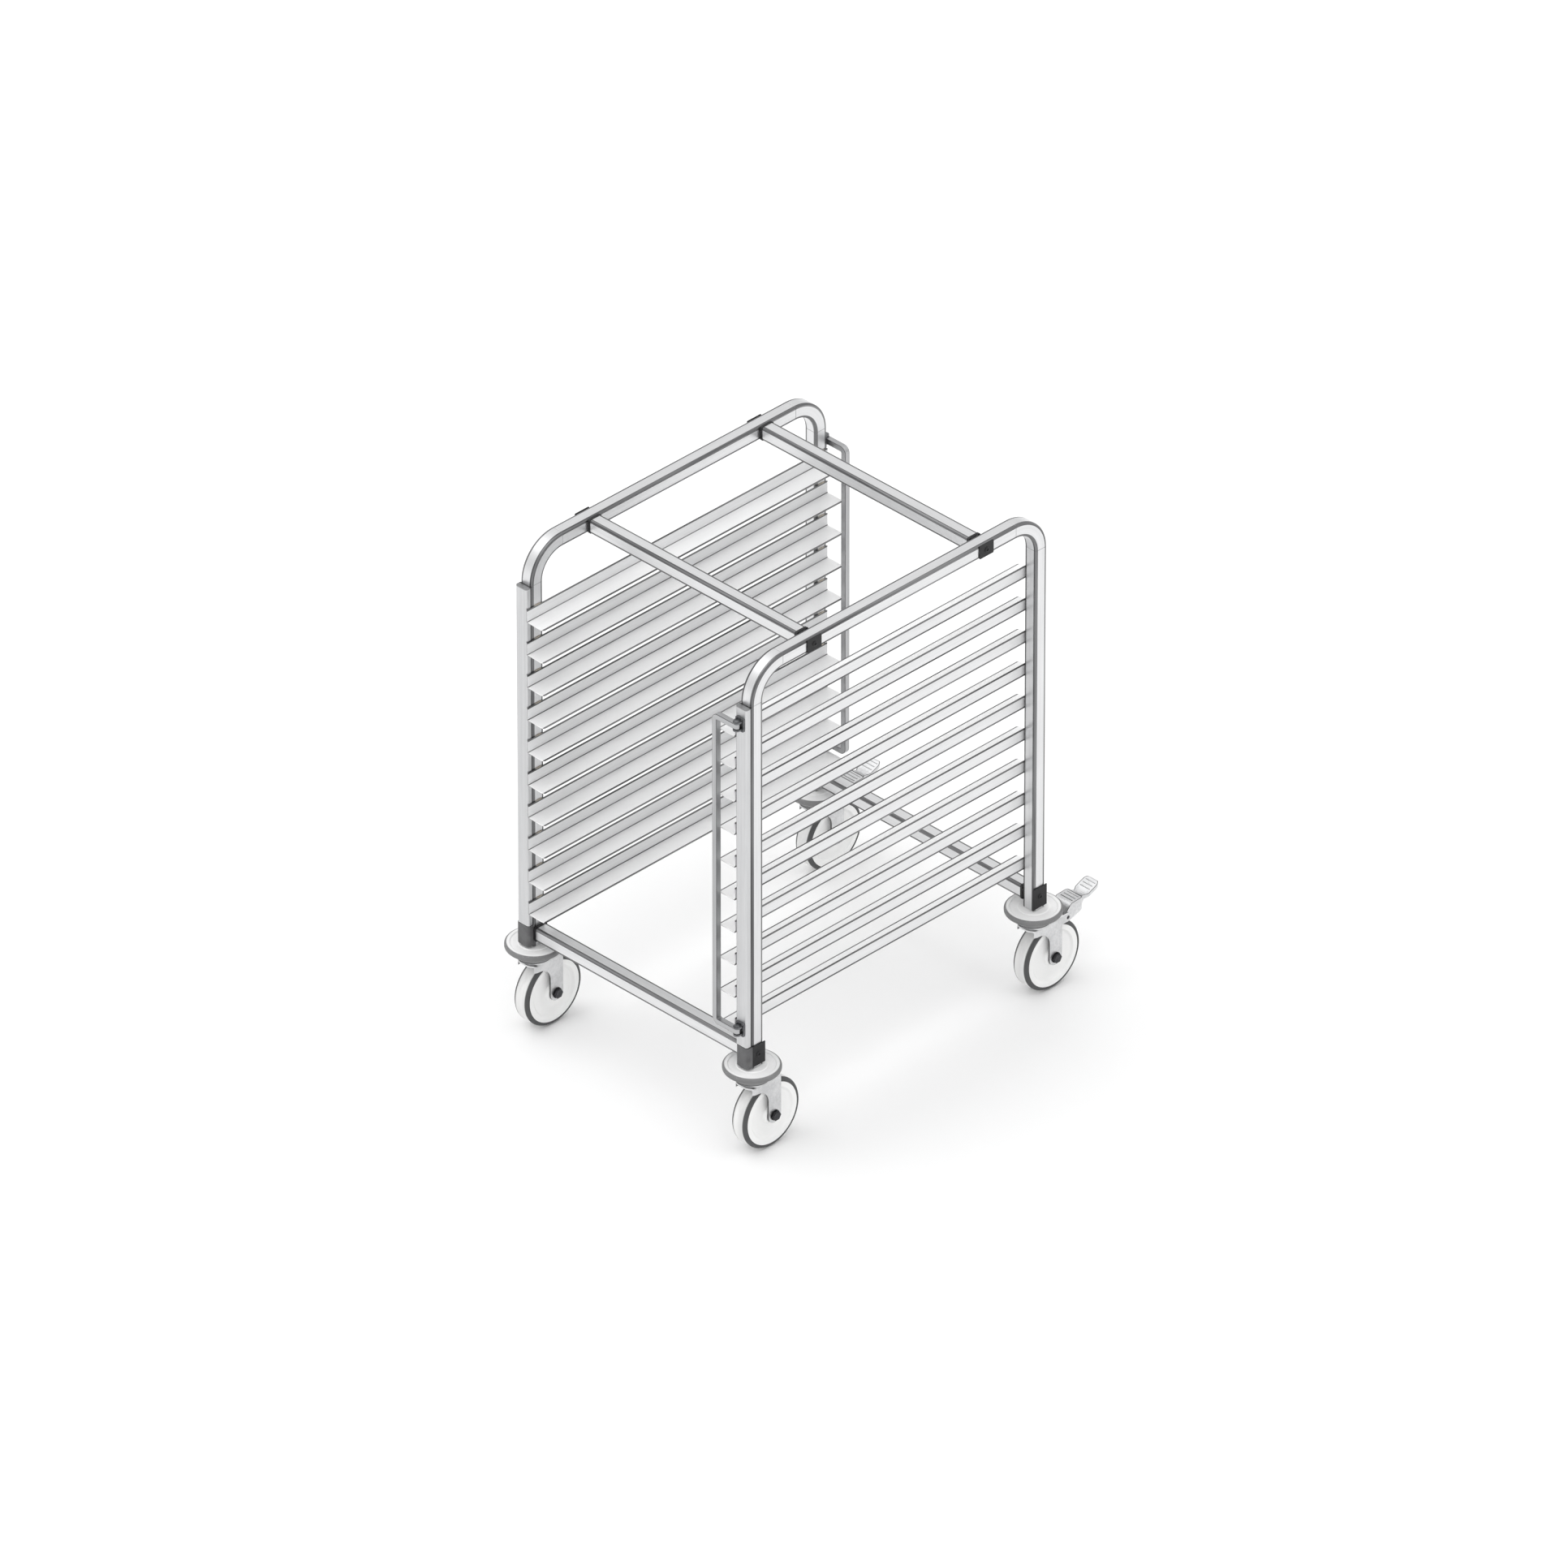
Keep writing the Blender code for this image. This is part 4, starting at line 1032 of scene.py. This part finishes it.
def fork_mesh(braked):
    """Pressed fork: crown, two legs and the lower race, and ears if it has a brake."""
    trail, axle_z = SIZES["trail"], SIZES["axle_z"]
    top, front = SIZES["crown_top"], SIZES["crown_front"]
    leg_front, leg_rear = trail - LEG_RADIUS, trail + LEG_RADIUS
    skirt_z = top - FORK_SKIRT
    side_view = [(front, top), (front, skirt_z)]
    side_view += arc((leg_front - FORK_SHOULDER, skirt_z - FORK_SHOULDER), FORK_SHOULDER, 90, 0, 12)
    side_view += arc((trail, axle_z), LEG_RADIUS, 180, 360, 24)
    if braked:
        side_view += [(leg_rear, SIZES["pedal_z"] - EAR_RADIUS)]
        side_view += arc((SIZES["pedal_y"], SIZES["pedal_z"]), EAR_RADIUS, -90, 90, 16)
    else:
        side_view += [(leg_rear, top)]
    outside = FORK_INSIDE / 2 + FORK_PLATE
    inside = FORK_INSIDE / 2
    mesh = extruded(side_view, -outside, outside, "X")
    shell = [(-outside, 0, 0), (outside, 0, 0), (outside, top, 0.0055), (-outside, top, 0.0055)]
    mesh = combine(mesh, extruded(filleted(shell, 0, 8), -0.1, 0.1, "Y"), "INTERSECT")
    nose = [(-outside, front, 0.015), (outside, front, 0.015), (outside, 0.1, 0), (-outside, 0.1, 0)]
    mesh = combine(mesh, extruded(filleted(nose, 0, 12), 0, 0.2, "Z"), "INTERSECT")
    room = [(-inside, -0.01, 0), (inside, -0.01, 0), (inside, top - FORK_PLATE, 0.0025),
            (-inside, top - FORK_PLATE, 0.0025)]
    mesh = combine(mesh, extruded(filleted(room, 0, 6), -0.1, 0.1, "Y"), "DIFFERENCE")
    if braked:
        mesh = combine(mesh, block((-inside, CROWN_REAR_Y, 0.1), (inside, 0.1, 0.2)), "DIFFERENCE")
    race = turned("race", [(0, top - 0.0015), (RACE_RADIUS, top - 0.0015), (RACE_RADIUS, top + 0.0035),
                           (RACE_RADIUS - 0.0012, top + 0.0050), (RACE_RADIUS - 0.0012, SIZES["race_top"]),
                           (0, SIZES["race_top"])], 64)
    mesh = combine(mesh, race, "UNION")
    holes = [(AXLE_RADIUS + 0.0002, trail, axle_z)]
    if braked:
        holes.append((PIN_RADIUS + 0.0002, SIZES["pedal_y"], SIZES["pedal_z"]))
    for radius, y, z in holes:
        mesh = combine(mesh, rod(radius, -0.05, 0.05, "X", (y, z)), "DIFFERENCE")
    mesh = softened(mesh, 0.0010, axis_grain("Z"), 2, 30)
    # The cut edges of the legs' plate count as edges too, so they are painted dark as shade.
    painted_edge_shade = mesh.attributes["edge"].data
    for face in mesh.polygons:
        if abs(face.normal.x) < 0.5 and abs(face.normal.z) < 0.75 and face.center.z < skirt_z:
            painted_edge_shade[face.index].value = 1.0
    return mesh


def tyre_mesh():
    """Tyre ring with rounded shoulders, axis along X."""
    outer = SIZES["wheel_radius"]
    right = [(HUB_RADIUS - 0.0040, WHEEL_HALF - 0.004, 0), (HUB_RADIUS + 0.0002, WHEEL_HALF, 0.0008),
             (outer - 0.0030, WHEEL_HALF, 0.0022), (outer, WHEEL_HALF - 0.0042, 0.004), (outer, 0.0045, 0)]
    profile = right + [(outer - 0.0001, 0, 0)] + mirrored(right, 1, -1)
    return turned("tyre", filleted(profile, 0, 5), TURN_STEPS, "X", closed=True)


def hub_mesh():
    """Wheel centre: rim, recessed web, bearing boss and bore, axis along X."""
    boss = SIZES["hub_half"]
    bore = AXLE_RADIUS + 0.0003
    right = [(HUB_RADIUS - 0.0042, WHEEL_HALF - 0.0042, 0), (HUB_RADIUS - 0.0042, WHEEL_HALF - 0.0002, 0),
             (HUB_RADIUS, WHEEL_HALF - 0.0002, 0.0004), (HUB_RADIUS - 0.0004, WHEEL_HALF + 0.0002, 0.0004),
             (0.0465, WHEEL_HALF, 0.0012), (0.0435, WHEEL_HALF - WEB_RECESS, 0.003),
             (0.0175, WHEEL_HALF - WEB_RECESS, 0.0025),
             (0.0150, boss, 0.0012), (bore, boss, 0.0004)]
    return turned("hub", filleted(right + mirrored(right, 1, -1), 0, 5), TURN_STEPS, "X", closed=True)


def axle_bolt_mesh():
    """Axle with its hex head and washer on the right, and a nut, washer and thread end on the left."""
    face = FORK_INSIDE / 2 + FORK_PLATE + CLEARANCE
    end = SIZES["axle_half"]
    mesh = rod(AXLE_RADIUS, -end + 0.0006, face + 0.0005, "X")
    for sign in (1, -1):
        low, high = sorted((sign * face, sign * (face + 0.0012)))
        mesh = combine(mesh, rod(0.0094, low, high, "X", steps=48), "UNION")
        low, high = sorted((sign * (face + 0.0008), sign * (end if sign > 0 else end - 0.0014)))
        nut = extruded(hexagon(0.0150), low, high, "X")
        ball = turned("ball", [(0, low - 0.001), (0.0078 if sign < 0 else 0.0092, low - 0.001),
                               (0.0092, low + 0.0006), (0.0092, high - 0.0006),
                               (0.0078 if sign > 0 else 0.0092, high + 0.0002),
                               (0, high + 0.0002)], 48, "X")
        mesh = combine(mesh, combine(nut, ball, "INTERSECT"), "UNION")
    return softened(mesh, 0.0003, axis_grain("X"), 1, 32)


def bumper_mesh():
    """Round bumper: a skirt round the upper race, a cone, a round shoulder and a dished top."""
    radius, low, top, seat = (SIZES["bumper_radius"], SIZES["bumper_low"], SIZES["bumper_top"],
                              SIZES["bumper_seat"])
    bore = AXLE_RADIUS + CLEARANCE
    dish = top - BUMPER_DISH
    profile = [(bore, seat, 0), (BUMPER_SKIRT_INSIDE, seat, 0.0006), (BUMPER_SKIRT_INSIDE, low, 0.0005),
               (BUMPER_SKIRT_OUTSIDE, low, 0.0010), (0.0318, low + 0.0030, 0.0012),
               (0.0322, low + 0.0032, 0.0004), (radius, top - 0.0080, 0.0035),
               (radius, top, BUMPER_SHOULDER), (0.0395, top, 0.0012), (0.0380, dish, 0.0012),
               (0.0262, dish, 0.0010), (0.0248, top - 0.0003, 0.0006), (bore, top - 0.0003, 0)]
    profile = filleted(profile, 0, 8)
    return turned("bumper", profile, TURN_STEPS, closed=True)


def stem_mesh():
    """Caster stem with the upper race."""
    low, top, flange = SIZES["stem_low"], SIZES["stem_top"], SIZES["stem_flange"]
    flange_top = SIZES["bumper_seat"] - CLEARANCE
    profile = [(0, low), (flange - 0.0006, low), (flange, low + 0.0006), (flange, flange_top - 0.0012),
               (flange - 0.0012, flange_top), (AXLE_RADIUS, flange_top), (AXLE_RADIUS, top - 0.001),
               (AXLE_RADIUS - 0.001, top), (0, top)]
    return turned("stem", profile, 64)


def kingpin_nut_mesh():
    """Nut and washer that hold the fork from below, inside the crown."""
    seat = SIZES["crown_top"] - FORK_PLATE
    washer = turned("washer", [(0, seat - 0.0013), (0.0088, seat - 0.0013), (0.0088, seat - 0.0001),
                               (0, seat - 0.0001)], 48)
    nut = extruded(hexagon(0.0125), seat - 0.0062, seat - 0.0010, "Z")
    return softened(combine(washer, nut, "UNION"), 0.0003, axis_grain("Z"), 1, 32)


def pedal_mesh():
    """Brake pedal about its pivot: a barrel and two rounded treads joined by a waist, with grip ribs."""
    low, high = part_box("brake_pedal_right_rear")
    pivot = anchor("brake_pedal_right_rear")
    pin_half = (high.x - low.x) / 2
    half = FORK_INSIDE / 2 - 2 * CLEARANCE
    reach = high.y - pivot.y
    rise = high.z - pivot.z - PEDAL_TIP
    side_view = arc((0, 0), PEDAL_BARREL, 130, 250, 12)
    side_view += [(0.0095, -0.0095), (0.017, -0.0075), (0.038, -0.001), (0.042, 0.003), (0.046, 0.009),
                  (0.054, 0.0125)]
    side_view += arc((reach - PEDAL_TIP, rise), PEDAL_TIP, -65, 115, 12)
    side_view += [(0.055, 0.0185), (0.050, 0.0170), (0.046, 0.0165), (0.041, 0.0180), (0.037, 0.0205),
                  (0.013, 0.0195), (0.008, 0.0165), (0.004, 0.012)]
    mesh = extruded(side_view, -half, half, "X")
    right = [(half, -0.008, 0), (half, 0.0345, 0.009), (0.0095, 0.0440, 0.006), (0.0155, 0.0535, 0.006),
             (0.0155, reach + 0.0003, 0.012)]
    plan = filleted(right + mirrored(right, -1, 1), 0, 8)
    mesh = combine(mesh, extruded(plan, -0.02, 0.06, "Z"), "INTERSECT")
    # The hem round the treads is marked as an edge, so it is painted dark as shade.
    mesh = softened(mesh, 0.0014, axis_grain("Y"), 3, 34, 0.0012,
                    lambda face: abs(face.normal.x) < 0.3 and face.normal.z > 0.2)
    ribs = []
    heel = Vector((0, 0.055, 0.0185))
    toe = Vector((0, reach - PEDAL_TIP, rise + PEDAL_TIP))
    slope = math.atan2(toe.z - heel.z, toe.y - heel.y)
    for share in (0.22, 0.50, 0.78):
        ribs.append(rib_mesh(0.0105, slope, heel.lerp(toe, share)))
    for y in (0.018, 0.025, 0.032):
        ribs.append(rib_mesh(0.0130, 0.0, Vector((0, y, 0.0200))))
    pin = softened(rod(PIN_RADIUS, -pin_half, pin_half, "X"), 0.0004, axis_grain("X"), 2)
    return mesh, joined("pedal_ribs", ribs), pin


def rib_mesh(half_width, slope, place):
    """One grip rib on a tread that slopes up towards +Y."""
    rib = block((-half_width, -0.0008, -0.0006), (half_width, 0.0008, 0.0007))
    rib = softened(rib, 0.0005, axis_grain("X"), 2)
    rib.transform(Matrix.Rotation(slope, 4, "X"))
    return moved(rib, place)


def build_casters():
    """Four casters; the rear two have a brake pedal."""
    forks = {False: fork_mesh(False), True: fork_mesh(True)}
    tyre, hub, axle = tyre_mesh(), hub_mesh(), axle_bolt_mesh()
    bumper, stem, kingpin = bumper_mesh(), stem_mesh(), kingpin_nut_mesh()
    seal = turned("seal", filleted([(RACE_RADIUS + 0.0002, SIZES["race_top"] - 0.0026, 0.0005),
                                    (RACE_RADIUS + 0.0012, SIZES["race_top"] - 0.0026, 0.0005),
                                    (RACE_RADIUS + 0.0012, SIZES["race_top"] - 0.0001, 0.0005),
                                    (RACE_RADIUS - 0.0009, SIZES["race_top"] - 0.0001, 0.0004),
                                    (RACE_RADIUS - 0.0009, SIZES["race_top"] - 0.0012, 0.0004)], 0, 3),
                  TURN_STEPS, closed=True)
    pedal, ribs, pin = pedal_mesh()
    for corner in CORNERS:
        braked = corner in BRAKED_CORNERS
        swivel = anchor(f"swivel_{corner}")
        floor_point = (swivel.x, swivel.y, 0)
        wheel_centre = anchor(f"wheel_spin_{corner}")
        caster, wheel = f"caster_{corner}", f"wheel_{corner}"
        shown = [
            ("caster_bumper_{}_ring", bumper, "frame", "bumper_rubber", floor_point, "caster_bumper_{}"),
            ("caster_stem_{}_bolt", stem, "frame", "stem_steel", floor_point, "caster_stem_{}"),
            ("caster_fork_{}_pressing", forks[braked], caster, "fork_steel", floor_point, "caster_fork_{}"),
            ("caster_seal_{}", seal, caster, "cover_plastic", floor_point, ""),
            ("caster_kingpin_nut_{}", kingpin, caster, "stem_steel", floor_point, ""),
            ("caster_axle_{}_bolt", axle, caster, "axle_steel", wheel_centre, "caster_axle_{}"),
            ("caster_tyre_{}", tyre, wheel, "wheel_plastic", wheel_centre, "caster_wheel_{}"),
            ("caster_hub_{}", hub, wheel, "wheel_plastic", wheel_centre, "caster_wheel_{}"),
        ]
        if braked:
            body = f"pedal_{corner}"
            pivot = anchor(f"brake_pedal_{corner}")
            shown += [("brake_pedal_{}_plate", pedal, body, "pedal_steel", pivot, "brake_pedal_{}"),
                      ("brake_pedal_{}_ribs", ribs, body, "pedal_steel", pivot, ""),
                      ("brake_pedal_{}_pin", pin, body, "axle_steel", pivot, "")]
        for name, mesh, body, slot, place, node in shown:
            add_piece(name.format(corner), mesh, body, slot, place,
                      replaces=[node.format(corner)] if node else (), finish=TYRE if mesh is tyre else None)


# --- stage -----------------------------------------------------------------------------------------

def direction(azimuth, elevation):
    """Unit vector from the rack towards a place seen at these angles in degrees."""
    around, above = math.radians(azimuth), math.radians(elevation)
    level = math.cos(above)
    return Vector((math.sin(around) * level, -math.cos(around) * level, math.sin(above)))


def build_stage():
    """Plain pale floor, even studio light and a long-lens camera."""
    bm = bmesh.new()
    bmesh.ops.create_grid(bm, x_segments=1, y_segments=1, size=90.0)
    mesh = bpy.data.meshes.new("floor")
    bm.to_mesh(mesh)
    bm.free()
    floor = bpy.data.objects.new("floor", mesh)
    finish = bpy.data.materials.new("floor")
    finish.use_nodes = True
    shader = finish.node_tree.nodes["Principled BSDF"]
    shader.inputs["Base Color"].default_value = (0.90, 0.90, 0.90, 1)
    shader.inputs["Roughness"].default_value = 0.9
    shader.inputs["Specular IOR Level"].default_value = 0.1
    mesh.materials.append(finish)
    floor.location = (0, 0, CAD_LOW.z - 0.0002)
    bpy.context.scene.collection.objects.link(floor)

    world = bpy.data.worlds.new("studio")
    bpy.context.scene.world = world
    world.use_nodes = True
    tree = world.node_tree
    background = tree.nodes["Background"]
    coords = tree.nodes.new("ShaderNodeTexCoord")
    split = tree.nodes.new("ShaderNodeSeparateXYZ")
    ramp = tree.nodes.new("ShaderNodeValToRGB")
    tree.links.new(coords.outputs["Generated"], split.inputs[0])
    tree.links.new(split.outputs["Z"], ramp.inputs[0])
    tree.links.new(ramp.outputs[0], background.inputs[0])
    stops = ramp.color_ramp.elements
    stops[0].position, stops[0].color = 0.0, (0.92, 0.92, 0.92, 1)
    stops[1].position, stops[1].color = 1.0, (0.95, 0.95, 0.95, 1)
    for position, level in ((0.10, 0.92), (0.30, 0.84), (0.52, 0.97), (0.70, 1.0)):
        stop = stops.new(position)
        stop.color = (level, level, level, 1)
    background.inputs[1].default_value = 0.94

    for azimuth, elevation, strength, softness in ((-25, 72, 1.10, 60), (130, 50, 0.16, 50)):
        light = bpy.data.lights.new("sun", "SUN")
        light.energy = strength
        light.angle = math.radians(softness)
        lamp = bpy.data.objects.new("sun", light)
        lamp.rotation_euler = direction(azimuth, elevation).to_track_quat("Z", "Y").to_euler()
        bpy.context.scene.collection.objects.link(lamp)

    camera = bpy.data.objects.new("camera", bpy.data.cameras.new("camera"))
    camera.data.lens = VIEW_LENS
    camera.data.clip_end = 400.0
    back = direction(VIEW_AZIMUTH, VIEW_ELEVATION)
    target = Vector((0, (UPRIGHT_Y["front"] + UPRIGHT_Y["rear"]) / 2, VIEW_HEIGHT))
    camera.location = target + back * VIEW_DISTANCE
    camera.rotation_euler = back.to_track_quat("Z", "Y").to_euler()
    bpy.context.scene.collection.objects.link(camera)
    bpy.context.scene.camera = camera
    bpy.context.scene.view_settings.view_transform = "Standard"


for leftover in [item for item in bpy.context.scene.objects if item.type in {"LIGHT", "CAMERA"}]:
    bpy.data.objects.remove(leftover)
build_stage()
build_frame()
build_runners()
build_joint_covers()
build_retaining_bars()
build_casters()
